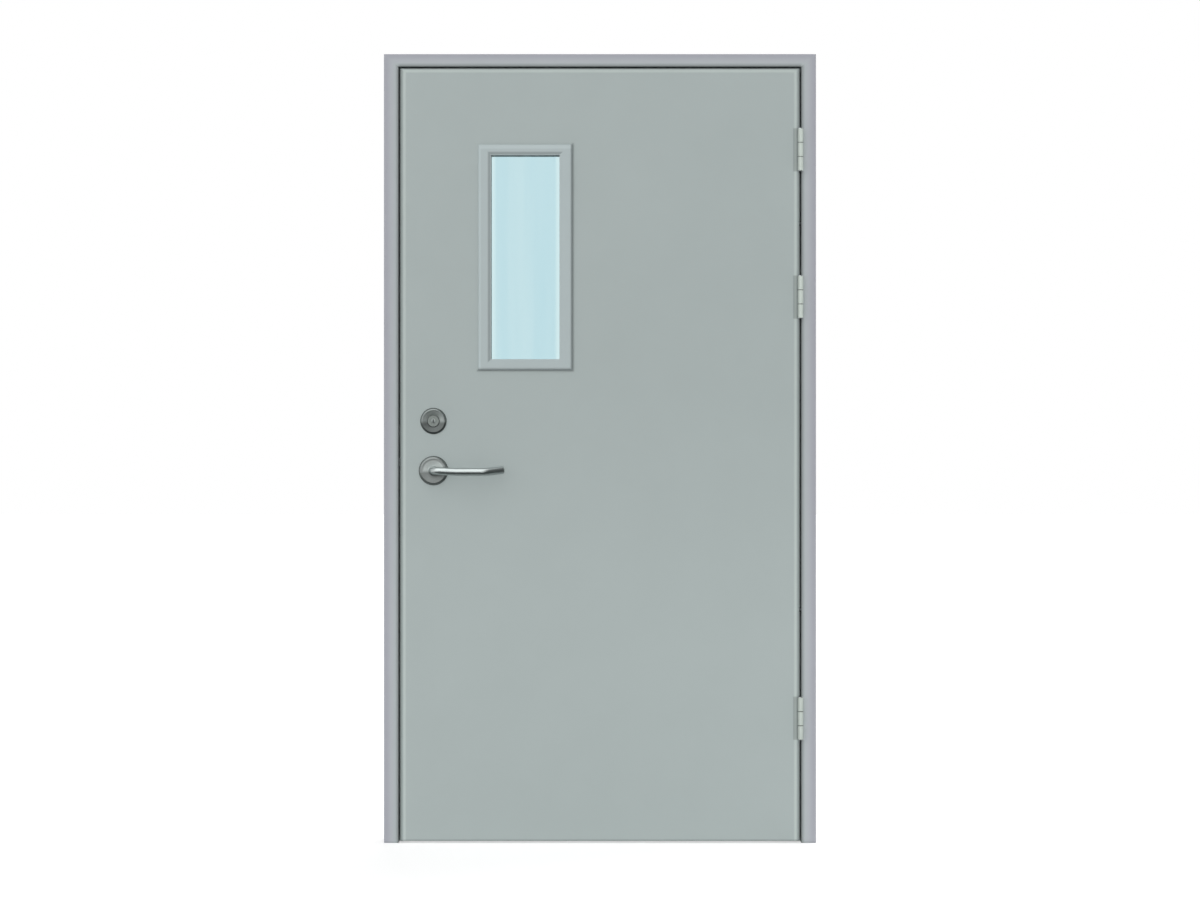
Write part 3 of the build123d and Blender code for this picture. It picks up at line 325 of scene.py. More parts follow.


# Painted light: the coat is lifted a trace paler towards the foot of the door, where the lamps leave it
# darker.
PALE_FROM = 1.2
PALE_LIFT = 1.16


def paler_foot(finish, color):
    return finish.tinted(color, finish.ranged(finish.axis("Z"), 0.0, PALE_FROM, PALE_LIFT, 1.0))


def jamb_color(finish):
    fold_place = frame_edge - JAMB_FACE
    side = finish.math("ABSOLUTE", finish.axis("X"))
    share = finish.ranged(side, frame_edge, fold_place, 0.0, 1.0)
    away = finish.math("ABSOLUTE", finish.math("SUBTRACT", side, fold_place))
    open_share = finish.math("SUBTRACT", 1.0, hinge_zone(finish, HINGE_CLEAR_REACH))
    fold = finish.math("MULTIPLY", fold_share(finish, away), open_share)
    color = finish.tinted(finish.ramp(share, FRAME_STOPS), finish.shade(fold, FOLD_DEPTH))
    color = paler_foot(finish, color)
    return finish.tinted(color, finish.shade(foot_share(finish, 0.0), JAMB_FOOT_DEPTH))


def head_color(finish):
    fold_place = frame_top - HEAD_FACE
    share = finish.ranged(finish.axis("Z"), frame_top, fold_place, 0.0, 1.0)
    away = finish.outside("Z", fold_place)
    inner = finish.near(finish.outside("X", 0.0, leaf_edge), 0.0, FOLD_SHADE_END)
    fold = finish.math("MULTIPLY", fold_share(finish, away), inner)
    return finish.tinted(finish.ramp(share, FRAME_STOPS), finish.shade(fold, FOLD_DEPTH))


# The leaf's skin has painted shade right at its folded edge and a painted highlight just inside it, at
# its two sides and its top. Painted shadow lies beside the hinges, and right of and below the glazing
# frame.
LEAF_COLOR = screen(164, 174, 173)
EDGE_SHADE = screen(116, 124, 123)
EDGE_MIDDLE = screen(140, 149, 148)
LIP_HIGHLIGHT = screen(179, 189, 186)
SIDE_SETBACK = 3.5 * MM
LIP_BAND = 16 * MM
LEAF_STOPS = (
    (0.0, EDGE_SHADE),
    (0.25, EDGE_MIDDLE),
    (0.42, scaled(LEAF_COLOR, 0.93)),
    (0.56, LIP_HIGHLIGHT),
    (0.78, LIP_HIGHLIGHT),
    (1.0, LEAF_COLOR),
)
LIP_WOBBLE_SCALE = 60.0
LIP_WOBBLE = 0.5 * MM
COVER_SHADOW_START = -3 * MM
COVER_SHADOW_FULL = 1 * MM
COVER_SHADOW_REACH = 7 * MM
COVER_SHADOW_DEPTH = 0.42
HINGE_SHADOW_REACH = 17 * MM
HINGE_SHADOW_DEPTH = 0.30
LEAF_FOOT_DEPTH = 0.32


# A share of 1 on the leaf close to the glazing frame, right of it and below it, where painted shadow
# falls.
def cover_shadow_share(finish):
    right = finish.math("SUBTRACT", finish.axis("X"), cover_high.x)
    below = finish.math("SUBTRACT", cover_low.z, finish.axis("Z"))
    past_cover = finish.math("MAXIMUM", right, below)
    past_share = finish.ranged(past_cover, COVER_SHADOW_START, COVER_SHADOW_FULL, 0.0, 1.0)
    level = finish.outside("Z", cover_middle.z, cover_half.z)
    beside = finish.outside("X", cover_middle.x, cover_half.x)
    in_reach = finish.near(finish.math("MAXIMUM", level, beside), 0.0, COVER_SHADOW_REACH)
    return finish.math("MULTIPLY", in_reach, past_share)


def front_color(finish):
    side = finish.math("ABSOLUTE", finish.axis("X"))
    across = finish.math("SUBTRACT", leaf_edge - SIDE_SETBACK, side)
    above = finish.math("SUBTRACT", leaf_top, finish.axis("Z"))
    nearest = finish.math("MINIMUM", across, above)
    wobbled = finish.math("ADD", nearest, finish.noise_between(0.0, LIP_WOBBLE, LIP_WOBBLE_SCALE))
    share = finish.ranged(wobbled, -SIDE_SETBACK, LIP_BAND - SIDE_SETBACK, 0.0, 1.0)
    color = finish.ramp(share, LEAF_STOPS)
    # Painted shadow right of and below the glazing frame
    color = finish.tinted(color, finish.shade(cover_shadow_share(finish), COVER_SHADOW_DEPTH))
    # Painted shadow beside the hinges
    hinge_shadow = hinge_zone(finish, HINGE_SHADOW_REACH)
    color = finish.tinted(color, finish.shade(hinge_shadow, HINGE_SHADOW_DEPTH))
    color = paler_foot(finish, color)
    # Painted shadow darkens the foot of the leaf, over the shaded clearance beneath it.
    return finish.tinted(color, finish.shade(foot_share(finish, front_low.z), LEAF_FOOT_DEPTH))


# The glazing frame's inner slope has painted shade at its left and top, and its outer edge has painted
# shade at its right and bottom. Its outer edge has a painted highlight at its left and top.
GLAZING_COLOR = screen(170, 181, 182)
SIGHT_FACE_SIDE = 34 * MM
SIGHT_FACE_END = 28.5 * MM
SLOPE_START = 0.5 * MM
SLOPE_FULL = 2.5 * MM
SLOPE_FADE = 6 * MM
SLOPE_REACH = 11 * MM
SLOPE_DEPTH = 0.36
MITRE_SOFT_EDGE = 1 * MM
RIM_FULL = 1 * MM
RIM_REACH = 8 * MM
RIM_DEPTH = 0.38
HIGHLIGHT_SETBACK = 5 * MM
HIGHLIGHT_FULL = 4 * MM
HIGHLIGHT_REACH = 9 * MM
HIGHLIGHT_LIFT = 1.12


def glazing_color(finish):
    side = finish.axis("X")
    level = finish.axis("Z")
    inner_left = finish.math("SUBTRACT", cover_low.x + SIGHT_FACE_SIDE, side)
    inner_top = finish.math("SUBTRACT", level, cover_high.z - SIGHT_FACE_END)
    inner_right = finish.math("SUBTRACT", side, cover_high.x - SIGHT_FACE_SIDE)
    inner_bottom = finish.math("SUBTRACT", cover_low.z + SIGHT_FACE_END, level)
    inner = finish.math("MAXIMUM", inner_left, inner_top)
    other = finish.math("MAXIMUM", inner_right, inner_bottom)
    fade = finish.near(inner, SLOPE_FADE, SLOPE_REACH)
    slope = finish.math("MULTIPLY", fade, finish.ranged(inner, SLOPE_START, SLOPE_FULL, 0.0, 1.0))
    mitre = finish.near(finish.math("SUBTRACT", other, inner), -MITRE_SOFT_EDGE, MITRE_SOFT_EDGE)
    slope = finish.math("MULTIPLY", slope, mitre)
    outer_right = finish.math("SUBTRACT", cover_high.x, side)
    outer_bottom = finish.math("SUBTRACT", level, cover_low.z)
    rim = finish.near(finish.math("MINIMUM", outer_right, outer_bottom), RIM_FULL, RIM_REACH)
    outer_left = finish.math("SUBTRACT", side, cover_low.x)
    below_top = finish.math("SUBTRACT", cover_high.z - HIGHLIGHT_SETBACK, level)
    highlight = finish.near(finish.math("MINIMUM", outer_left, below_top), HIGHLIGHT_FULL, HIGHLIGHT_REACH)
    color = finish.tinted(GLAZING_COLOR, finish.shade(slope, SLOPE_DEPTH))
    color = finish.tinted(color, finish.ranged(highlight, 0.0, 1.0, 1.0, HIGHLIGHT_LIFT))
    return finish.tinted(color, finish.shade(rim, RIM_DEPTH))


# The knuckles have painted shade on the leaf's side of the pin, so they are brighter on the frame's
# side.
HINGE_COLOR = screen(198, 208, 201)
HINGE_DARK_WIDTH = 7 * MM
HINGE_DARK_DEPTH = 0.28


def hinge_color(finish):
    left = finish.near(finish.axis("X"), pin_x - HINGE_DARK_WIDTH, pin_x)
    return finish.tinted(HINGE_COLOR, finish.shade(left, HINGE_DARK_DEPTH))


# Bare metal, with its grain drawn out along the axis of the small number.
METAL_SCALE = 900.0
METAL_TONE_SCALE = 360.0
METAL_GLOSS_SCALE = 450.0
METAL_DEPTH = 0.01 * MM
METAL_TONE = 0.05


def metal(name, color, gloss, grain=EVEN):
    finish = Finish(name)
    finish.color(finish.vary(color, METAL_TONE, METAL_TONE_SCALE, grain))
    finish.rough(*gloss, METAL_GLOSS_SCALE, grain)
    finish.bump(finish.noise(METAL_SCALE, grain, detail=2.0), METAL_DEPTH)
    finish.shader.inputs["Metallic"].default_value = 1.0
    return finish.material


# A turned disc, darker outside rim_radius, and darker towards its foot by painted shade.
RIM_DARK_INSIDE = 3 * MM
RIM_DARK_OUTSIDE = 2 * MM
DISC_SHADE_TOP = 5 * MM
DISC_SHADE_FULL = -8 * MM


def disc_color(color, level, rim_radius, rim_depth, foot_depth):
    inside = rim_radius - RIM_DARK_INSIDE
    outside = rim_radius + RIM_DARK_OUTSIDE

    def build(finish):
        across = finish.math("SUBTRACT", finish.axis("X"), lock_x)
        up = finish.math("SUBTRACT", finish.axis("Z"), level)
        squares = finish.math("ADD", finish.math("POWER", across, 2.0), finish.math("POWER", up, 2.0))
        radius = finish.math("SQRT", squares)
        rim = finish.ranged(radius, inside, outside, 0.0, rim_depth, smooth=True)
        foot = finish.ranged(up, DISC_SHADE_TOP, DISC_SHADE_FULL, 0.0, foot_depth, smooth=True)
        deepest = finish.math("MAXIMUM", rim, foot)
        return finish.tinted(color, finish.math("SUBTRACT", 1.0, deepest))

    return build


# Zinc-coated sheet: angular crystals of slightly different tone.
CRYSTAL_SCALE = 120.0
CRYSTAL_DEPTH = 0.02 * MM
ZINC_DARK = screen(158, 161, 164)
ZINC_PALE = screen(188, 191, 193)
ZINC_GLOSS = (0.34, 0.52)
ZINC_METALLIC = 0.9


def zinc_sheet(name):
    finish = Finish(name)
    crystals = finish.node("ShaderNodeTexVoronoi")
    crystals.inputs["Scale"].default_value = CRYSTAL_SCALE
    finish.link(finish.place, crystals.inputs["Vector"])
    split = finish.node("ShaderNodeSeparateColor")
    finish.link(crystals.outputs["Color"], split.inputs[0])
    finish.color(finish.mixed(split.outputs[0], ZINC_DARK, ZINC_PALE))
    gloss = finish.ranged(split.outputs[1], 0.0, 1.0, *ZINC_GLOSS)
    finish.link(gloss, finish.shader.inputs["Roughness"])
    finish.bump(crystals.outputs["Distance"], CRYSTAL_DEPTH)
    finish.shader.inputs["Metallic"].default_value = ZINC_METALLIC
    return finish.material


# Rubber, plastic and board: matt, with a fine grain.
MATT_DEPTH = 0.08 * MM
MATT_GLOSS = (0.7, 0.85)


def matt(name, color, tone=0.06, scale=300.0):
    finish = Finish(name)
    finish.color(finish.vary(color, tone, scale * 0.2))
    finish.rough(*MATT_GLOSS, scale * 0.3)
    finish.bump(finish.noise(scale), MATT_DEPTH)
    return finish.material


# Thick fire glass: clear, a little blue-green, paler at its two sides by a painted reflection, with very
# faint upright draw lines.
GLASS_LOW = screen(181, 216, 224)
GLASS_HIGH = screen(189, 220, 226)
GLASS_EDGE_REFLECTION = screen(202, 229, 232)
GLASS_EDGE_FULL = 4 * MM
GLASS_EDGE_REACH = 15 * MM
BAND_SCALE = 26.0
BAND_GRAIN = (1, 1, 0.04)
BAND_RANGE = (0.35, 0.65)
GLASS_GLOSS = (0.0, 0.02)
GLASS_GLOSS_SCALE = 12.0
WAVE_SCALE = 8.0
WAVE_GRAIN = (1, 1, 0.2)
WAVE_DEPTH = 0.02 * MM
WAVE_STRENGTH = 0.3
GLASS_IOR = 1.5


def glass(name):
    finish = Finish(name)
    bands = finish.ranged(finish.noise(BAND_SCALE, BAND_GRAIN, detail=2.0), *BAND_RANGE, 0.0, 1.0)
    body = finish.mixed(bands, GLASS_LOW, GLASS_HIGH)
    beyond = finish.outside("X", cover_middle.x, cover_half.x - SIGHT_FACE_SIDE)
    edge = finish.near(finish.math("MULTIPLY", beyond, -1.0), GLASS_EDGE_FULL, GLASS_EDGE_REACH)
    finish.color(finish.mixed(edge, body, GLASS_EDGE_REFLECTION))
    finish.rough(*GLASS_GLOSS, GLASS_GLOSS_SCALE)
    waves = finish.noise(WAVE_SCALE, WAVE_GRAIN, detail=1.0)
    finish.bump(waves, WAVE_DEPTH, strength=WAVE_STRENGTH)
    finish.shader.inputs["Transmission Weight"].default_value = 1.0
    finish.shader.inputs["IOR"].default_value = GLASS_IOR
    return finish.material


# Each disc's colour, level, rim radius, and how dark its rim and its foot are
rose_color = disc_color(screen(192, 199, 197), lever_z, 28 * MM, 0.50, 0.64)
collar_color = disc_color(screen(151, 158, 156), cylinder_z, 26 * MM, 0.22, 0.64)
plug_color = disc_color(screen(150, 157, 155), cylinder_z, 12 * MM, 0.30, 0.60)

finishes = {
    "jamb": paint("jamb_paint", jamb_color),
    "head": paint("head_paint", head_color),
    "front_leaf": paint("front_leaf_paint", front_color),
    "back_leaf": paint("back_leaf_paint", LEAF_COLOR),
    "glazing": paint("glazing_paint", glazing_color),
    "hinge": paint("hinge_paint", hinge_color),
    "lever": metal("satin_steel", screen(178, 185, 184), (0.28, 0.38), (0.05, 1, 1)),
    "rose": metal("turned_steel", rose_color, (0.30, 0.40)),
    "collar": metal("dark_turned_steel", collar_color, (0.30, 0.42)),
    "plate": metal("brushed_plate", screen(176, 179, 180), (0.28, 0.40), (1, 1, 0.04)),
    "bright": metal("plated_steel", screen(186, 189, 191), (0.22, 0.34)),
    "bolt": metal("dull_steel", screen(112, 117, 118), (0.34, 0.48), (1, 1, 0.1)),
    "brass": metal("nickel_brass", screen(124, 130, 127), (0.30, 0.42)),
    "plug": metal("dull_plug", plug_color, (0.34, 0.46)),
    "zinc": zinc_sheet("zinc_sheet"),
    "glass": glass("fire_glass"),
    "seal": matt("seal_rubber", screen(200, 208, 206)),
    "strip": matt("edge_strip", screen(150, 157, 155)),
    "gasket": matt("rose_gasket", screen(72, 78, 77)),
    "board": matt("mineral_board", screen(214, 208, 192), tone=0.1, scale=180.0),
    "tape": matt("glazing_tape", screen(132, 138, 138)),
    "block": matt("setting_block", screen(120, 92, 62)),
}

NODE_FINISHES = {
    "jamb": ("lock_jamb", "hinge_jamb"),
    "head": ("frame_head",),
    "front_leaf": ("front_skin",),
    "back_leaf": ("back_skin",),
    "glazing": ("front_glazing_frame", "back_glazing_frame"),
    "plate": ("strike_plate", "lock_faceplate"),
    "bolt": ("latch_bolt", "dead_bolt", "security_bolts"),
    "bright": ("spindle", "follower", "bolt_cam", "rose_bolts"),
    "plug": ("key_plug",),
    "brass": ("cylinder_bodies",),
    "zinc": (
        "wall_fixing_sleeves",
        "base_plates",
        "strike_box",
        "frame_hinge_reinforcements",
        "door_hinge_reinforcements",
        "security_bolt_cups",
        "lock_stile",
        "hinge_stile",
        "top_channel",
        "bottom_channel",
        "window_liner",
        "lock_case",
        "lock_cover",
        "lock_fixing_tabs",
    ),
    "glass": ("glass_pane",),
    "seal": ("smoke_seal",),
    "strip": ("side_strips", "top_strip"),
    "board": ("core_board",),
    "tape": ("glazing_tapes",),
    "block": ("setting_blocks",),
}

for finish_name, members in NODE_FINISHES.items():
    for member in members:
        node = nodes[member]
        if not node.material_slots:
            node.data.materials.append(None)
        for material_slot in node.material_slots:
            material_slot.material = finishes[finish_name]


# The share of a straight side that a corner's arc may take up
ARC_LIMIT = 0.49


# An open or closed polyline with an arc in place of each corner that has a radius.
def rounded(points, radii, closed=False, steps=6):
    found = []
    count = len(points)
    for index, (point, radius) in enumerate(zip(points, radii)):
        is_end = not closed and index in (0, count - 1)
        if is_end or radius <= 0:
            found.append(point.copy())
            continue
        before = points[index - 1] - point
        after = points[(index + 1) % count] - point
        half = before.angle(after) / 2
        reach = min(radius / tan(half), ARC_LIMIT * before.length, ARC_LIMIT * after.length)
        start = point + before.normalized() * reach
        end = point + after.normalized() * reach
        middle = point + (before.normalized() + after.normalized()).normalized() * reach / cos(half)
        first = (start - middle).normalized()
        last = (end - middle).normalized()
        arm = (start - middle).length
        for step in range(steps + 1):
            found.append(middle + first.slerp(last, step / steps) * arm)
    return found


# A quarter round in steps: how far each one lies short of the end, and how far it is drawn in.
def quarter_round(radius, steps=8):
    angles = [pi / 2 * step / steps for step in range(steps + 1)]
    return [(radius * (1 - sin(angle)), radius * (1 - cos(angle))) for angle in angles]


# Unit vectors round an axis. side and other are square to it and to each other.
def spokes(side, other, segments):
    angles = [2 * pi * k / segments for k in range(segments)]
    return [side * cos(angle) + other * sin(angle) for angle in angles]


# Vertices closer together than this become one.
MERGE_DISTANCE = 1e-7


# A piece under construction. It may hold several closed shells.
class Piece:
    def __init__(self):
        self.mesh = bmesh.new()

    # Rows of vertices joined side by side. Each row is a closed ring.
    def skin(self, rings, closed=False, capped=False):
        rows = [[self.mesh.verts.new(point) for point in ring] for ring in rings]
        pairs = list(zip(rows, rows[1:] + (rows[:1] if closed else [])))
        for first, second in pairs:
            for index in range(len(first)):
                after = (index + 1) % len(first)
                self.mesh.faces.new((first[index], first[after], second[after], second[index]))
        if capped:
            self.mesh.faces.new(list(reversed(rows[0])))
            self.mesh.faces.new(rows[-1])

    # A turned solid. The profile's points are (radius, height along the axis); closed rings have a bore.
    def turned(self, origin, axis, profile, radii, closed=True, segments=64):
        points = rounded([Vector((r, h, 0)) for r, h in profile], radii, closed=closed)
        side = axis.orthogonal().normalized()
        around = spokes(side, axis.cross(side), segments)
        rings = []
        for point in points:
            middle = origin + axis * point.y
            rings.append([middle + spoke * max(point.x, 0.0) for spoke in around])
        self.skin(rings, closed=closed)

    # A solid with the same outline at each level, drawn in by the level's inset. The outline is a slot.
    def slot_solid(self, origin, axis, long_axis, length, width, levels, segments=16):
        cross_axis = axis.cross(long_axis)
        straight = (length - width) / 2
        rings = []
        for height, inset in levels:
            radius = width / 2 - inset
            ring = []
            for end in (1, -1):
                for step in range(segments + 1):
                    angle = pi * step / segments
                    ring.append(
                        origin + axis * height
                        + long_axis * end * (straight + radius * sin(angle))
                        + cross_axis * end * radius * cos(angle)
                    )
            rings.append(ring)
        self.skin(rings, capped=True)

    # A round tube along a path, with a radius for each of the path's points.
    def tube(self, path, radii, segments=40):
        tangents = []
        for index in range(len(path)):
            before = path[max(index - 1, 0)]
            after = path[min(index + 1, len(path) - 1)]
            tangents.append((after - before).normalized())
        side = tangents[0].orthogonal().normalized()
        rings = []
        for point, tangent, radius in zip(path, tangents, radii):
            side = (side - tangent * side.dot(tangent)).normalized()
            around = spokes(side, tangent.cross(side), segments)
            rings.append([point + spoke * radius for spoke in around])
        self.skin(rings, capped=True)

    # A box with rounded edges.
    def block(self, low, high, edge):
        made = bmesh.ops.create_cube(self.mesh, size=1.0)["verts"]
        middle = (low + high) / 2
        size = high - low
        for vertex in made:
            vertex.co = Vector([middle[k] + vertex.co[k] * size[k] for k in range(3)])
        edges = list({e for vertex in made for e in vertex.link_edges})
        bmesh.ops.bevel(self.mesh, geom=edges, offset=edge, segments=3, profile=0.5, affect="EDGES")

    # A countersunk screw with a hexagon socket. Its axis points out of the surface.
    def screw(self, origin, axis, head_radius, shank_radius, length, segments=36):
        side = axis.orthogonal().normalized()
        around = spokes(side, axis.cross(side), segments)
        socket = head_radius * 0.48
        head_depth = head_radius - shank_radius
        # From the shank's tip to the socket's floor: radius, height and whether the ring is six-sided
        levels = (
            (shank_radius * 0.8, -length, False),
            (shank_radius, -length + 0.4 * MM, False),
            (shank_radius, -head_depth, False),
            (head_radius * 0.97, -0.35 * MM, False),
            (head_radius * 0.97, -0.15 * MM, False),
            (head_radius * 0.90, 0.0, False),
            (socket * 1.25, 0.0, False),
            (socket * 1.08, -0.2 * MM, True),
            (socket, -0.4 * MM, True),
            (socket, -min(2.2 * MM, length * 0.6), True),
            (socket * 0.5, -min(2.5 * MM, length * 0.7), False),
        )
        rings = []
        for radius, height, six_sided in levels:
            ring = []
            for k, spoke in enumerate(around):
                reach = radius
                if six_sided:
                    angle = 2 * pi * k / segments
                    reach = radius * cos(pi / 6) / cos((angle % (pi / 3)) - pi / 6)
                ring.append(origin + axis * height + spoke * reach)
            rings.append(ring)
        self.skin(rings, capped=True)

    # The finished piece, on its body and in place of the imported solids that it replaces.
    def made(self, name, body, slot, finish, replaced=(), sharp=40):
        bmesh.ops.remove_doubles(self.mesh, verts=self.mesh.verts, dist=MERGE_DISTANCE)
        bmesh.ops.dissolve_degenerate(self.mesh, edges=self.mesh.edges, dist=MERGE_DISTANCE)
        bmesh.ops.recalc_face_normals(self.mesh, faces=self.mesh.faces)
        mesh = bpy.data.meshes.new(name)
        self.mesh.to_mesh(mesh)
        self.mesh.free()
        mesh.polygons.foreach_set("use_smooth", [True] * len(mesh.polygons))
        mesh.set_sharp_from_angle(angle=radians(sharp))
        mesh.materials.append(finishes[finish])
        piece = bpy.data.objects.new(name, mesh)
        bpy.context.scene.collection.objects.link(piece)
        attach(piece, body)
        if replaced:
            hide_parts(*replaced)
        return piece


# A rose or collar: a dark gasket against the leaf and a rounded metal disc on it. The disc's rim slopes
# in by shoulder, its face is dished towards the bore, and gasket_show of the gasket stays in sight.
GASKET_HEIGHT = 1.4 * MM
GASKET_HIDDEN = 8 * MM
MOUTH_WIDTH = 1.2 * MM
MOUTH_DEPTH = 0.8 * MM
DISC_ROUNDS = (0, 0.3 * MM, 3.0 * MM, 2.5 * MM, 0.4 * MM, 0.2 * MM)
GASKET_ROUNDS = (0, 0.2 * MM, 0.5 * MM, 0)
DISC_SEGMENTS = 96
ROSE_SHAPE = {"bore": 11.35 * MM, "shoulder": 4 * MM, "dish": 2 * MM, "gasket_show": 1.6 * MM}
COLLAR_SHAPE = {"bore": 15.1 * MM, "shoulder": 3 * MM, "dish": 2 * MM, "gasket_show": 1.6 * MM}
TURN_ROSE_SHAPE = {"bore": 15.1 * MM, "shoulder": 3 * MM, "dish": 1 * MM, "gasket_show": 1 * MM}


def make_disc(name, node, side, finish, bore, shoulder, dish, gasket_show):
    low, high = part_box(node)
    center = (low + high) / 2
    outer = (high.x - low.x) / 2
    height = high.y - low.y
    axis = Y * side
    foot = Vector((center.x, low.y if side > 0 else high.y, center.z))
    rim = outer - gasket_show
    disc = Piece()
    disc.turned(
        foot,
        axis,
        (
            (bore, GASKET_HEIGHT),
            (rim, GASKET_HEIGHT),
            (rim, height - shoulder),
            (rim - shoulder, height),
            (bore + MOUTH_WIDTH, height - dish),
            (bore, height - dish - MOUTH_DEPTH),
        ),
        DISC_ROUNDS,
        segments=DISC_SEGMENTS,
    )
    disc.made(f"{name}_face", "leaf", "satin_steel", finish, (node,))
    inner = rim - GASKET_HIDDEN
    gasket = Piece()
    gasket.turned(
        foot,
        axis,
        ((inner, 0), (outer, 0), (outer, GASKET_HEIGHT), (inner, GASKET_HEIGHT)),
        GASKET_ROUNDS,
        segments=DISC_SEGMENTS,
    )
    gasket.made(f"{name}_gasket", "leaf", "seal_rubber", "gasket")


make_disc("front_rose", "front_rose", -1, "rose", **ROSE_SHAPE)
make_disc("back_rose", "back_rose", 1, "rose", **ROSE_SHAPE)
make_disc("collar", "cylinder_collar", -1, "collar", **COLLAR_SHAPE)
make_disc("thumbturn_rose", "thumbturn_rose", 1, "rose", **TURN_ROSE_SHAPE)

# Levers. The path leaves the neck square to the leaf, runs along it and turns back at the tip. Its
# places along the leaf are measured from the lock's axis, its depths from the part's middle.
TUBE_RADIUS = 10 * MM
NECK_FOOT = 24 * MM
NECK_TOP = 38 * MM
NECK_RADIUS = 11 * MM
NECK_ROUNDS = (0, 0.3 * MM, 0.8 * MM, 0)
NECK_BEND = 24 * MM
GRIP_START = 62 * MM
GRIP_END = 140 * MM
GRIP_DEPTH = 80 * MM
GRIP_BEND = 48 * MM
BEND_STEPS = 18
LEVER_DROP = 3 * MM
TIP_PLACE = 187 * MM
TIP_RETURN = 20 * MM
TIP_RISE = 5 * MM
TIP_ROUND = 3 * MM


def make_lever(name, side):
    grip_z = lever_z - LEVER_DROP
    tip_depth = GRIP_DEPTH - TIP_RETURN
    corners = [
        Vector((lock_x, side * NECK_TOP, lever_z)),
        Vector((lock_x, side * GRIP_DEPTH, lever_z)),
        Vector((lock_x + GRIP_START, side * GRIP_DEPTH, grip_z)),
        Vector((lock_x + GRIP_END, side * GRIP_DEPTH, grip_z)),
        Vector((lock_x + TIP_PLACE, side * tip_depth, grip_z + TIP_RISE)),
    ]
    line = rounded(corners, (0, NECK_BEND, GRIP_BEND, GRIP_BEND, 0), steps=BEND_STEPS)
    last = line.pop()
    direction = (last - line[-1]).normalized()
    radii = [TUBE_RADIUS] * len(line)
    for short, inset in quarter_round(TIP_ROUND):
        line.append(last - direction * short)
        radii.append(TUBE_RADIUS - inset)
    grip = Piece()
    grip.tube(line, radii, segments=48)
    foot = Vector((lock_x, side * NECK_FOOT, lever_z))
    neck_length = NECK_TOP - NECK_FOOT
    grip.turned(
        foot,
        Y * side,
        ((0, 0), (NECK_RADIUS, 0), (NECK_RADIUS, neck_length), (0, neck_length)),
        NECK_ROUNDS,
        closed=False,
        segments=64,
    )
    grip.made(f"{name}_grip", "levers", "satin_steel", "lever", (name,))


make_lever("front_lever", -1)
make_lever("back_lever", 1)

# Thumbturn: shaft, round foot and a rounded blade.
SHAFT_START = 3 * MM
SHAFT_RADIUS = 6.5 * MM
TURN_FOOT_START = leaf_back + 7 * MM
TURN_FOOT_END = TURN_FOOT_START + 6 * MM
TURN_FOOT_RADIUS = 9 * MM
TURN_ROUNDS = (0, 0.3 * MM, 0, 0.5 * MM, 1.2 * MM, 0)
BLADE_START = TURN_FOOT_START + 0.2 * MM
BLADE_CHAMFER = 0.6 * MM
BLADE_ROUND = 2 * MM
BLADE_LENGTH = 38 * MM
BLADE_WIDTH = 9 * MM


def make_thumbturn():
    knob = Piece()
    middle = Vector((lock_x, 0, cylinder_z))
    knob.turned(
        middle,
        Y,
        (
            (0, SHAFT_START),
            (SHAFT_RADIUS, SHAFT_START),
            (SHAFT_RADIUS, TURN_FOOT_START),
            (TURN_FOOT_RADIUS, TURN_FOOT_START),
            (TURN_FOOT_RADIUS, TURN_FOOT_END),
            (0, TURN_FOOT_END),
        ),
        TURN_ROUNDS,
        closed=False,
    )
    levels = [(BLADE_START, BLADE_CHAMFER), (BLADE_START + BLADE_CHAMFER, 0.0)]
    levels += [(turn_end - short, inset) for short, inset in quarter_round(BLADE_ROUND)]
    knob.slot_solid(middle, Y, Z, BLADE_LENGTH, BLADE_WIDTH, levels)
    knob.made("thumbturn_knob", "thumbturn", "satin_steel", "lever", ("thumbturn",))


make_thumbturn()

# Hinges: a plate let into each edge, with rounded knuckles on a pin that has domed caps.
HINGE_SEGMENTS = 48
EDGE_GAP = 5 * MM
PLATE = 2.5 * MM
PLATE_WIDTH = 33 * MM
PLATE_EDGE = 0.4 * MM
LUG_EDGE = 0.3 * MM
LUG_OVERLAP = 1 * MM
KNUCKLE_COUNT = 3
KNUCKLE_GAP = 1.8 * MM
KNUCKLE_RADIUS = 7.5 * MM
BORE = 4.05 * MM
KNUCKLE_ROUNDS = (0.2 * MM, 0.9 * MM, 0.9 * MM, 0.2 * MM)
plate_front = leaf_front - 0.2 * MM


def knuckle_height(place):
    return (hinge_heights[place] - (KNUCKLE_COUNT - 1) * KNUCKLE_GAP) / KNUCKLE_COUNT


def make_hinge_half(place, owner, body, side, first_knuckle):
    node = f"{owner}_hinge_leaf_{place}"
    height = hinge_heights[place]
    bottom = pin_levels[place] - height / 2
    knuckle = knuckle_height(place)
    inner = pin_x + side * EDGE_GAP / 2
    x_low, x_high = sorted((inner, inner + side * PLATE))
    half = Piece()
    half.block(
        Vector((x_low, plate_front, bottom)),
        Vector((x_high, plate_front + PLATE_WIDTH, bottom + height)),
        PLATE_EDGE,
    )
    for index in range(first_knuckle, KNUCKLE_COUNT, 2):
        floor = bottom + index * (knuckle + KNUCKLE_GAP)
        half.block(
            Vector((x_low, pin_y, floor)),
            Vector((x_high, plate_front + LUG_OVERLAP, floor + knuckle)),
            LUG_EDGE,
        )
        half.turned(
            Vector((pin_x, pin_y, floor)),
            Z,
            ((BORE, 0), (KNUCKLE_RADIUS, 0), (KNUCKLE_RADIUS, knuckle), (BORE, knuckle)),
            KNUCKLE_ROUNDS,
            segments=HINGE_SEGMENTS,
        )
    half.made(f"{node}_rounded", body, "hinge_paint", "hinge", (node,))


for place in pin_levels:
    make_hinge_half(place, "frame", "frame", 1, 0)
    make_hinge_half(place, "door", "leaf", -1, 1)

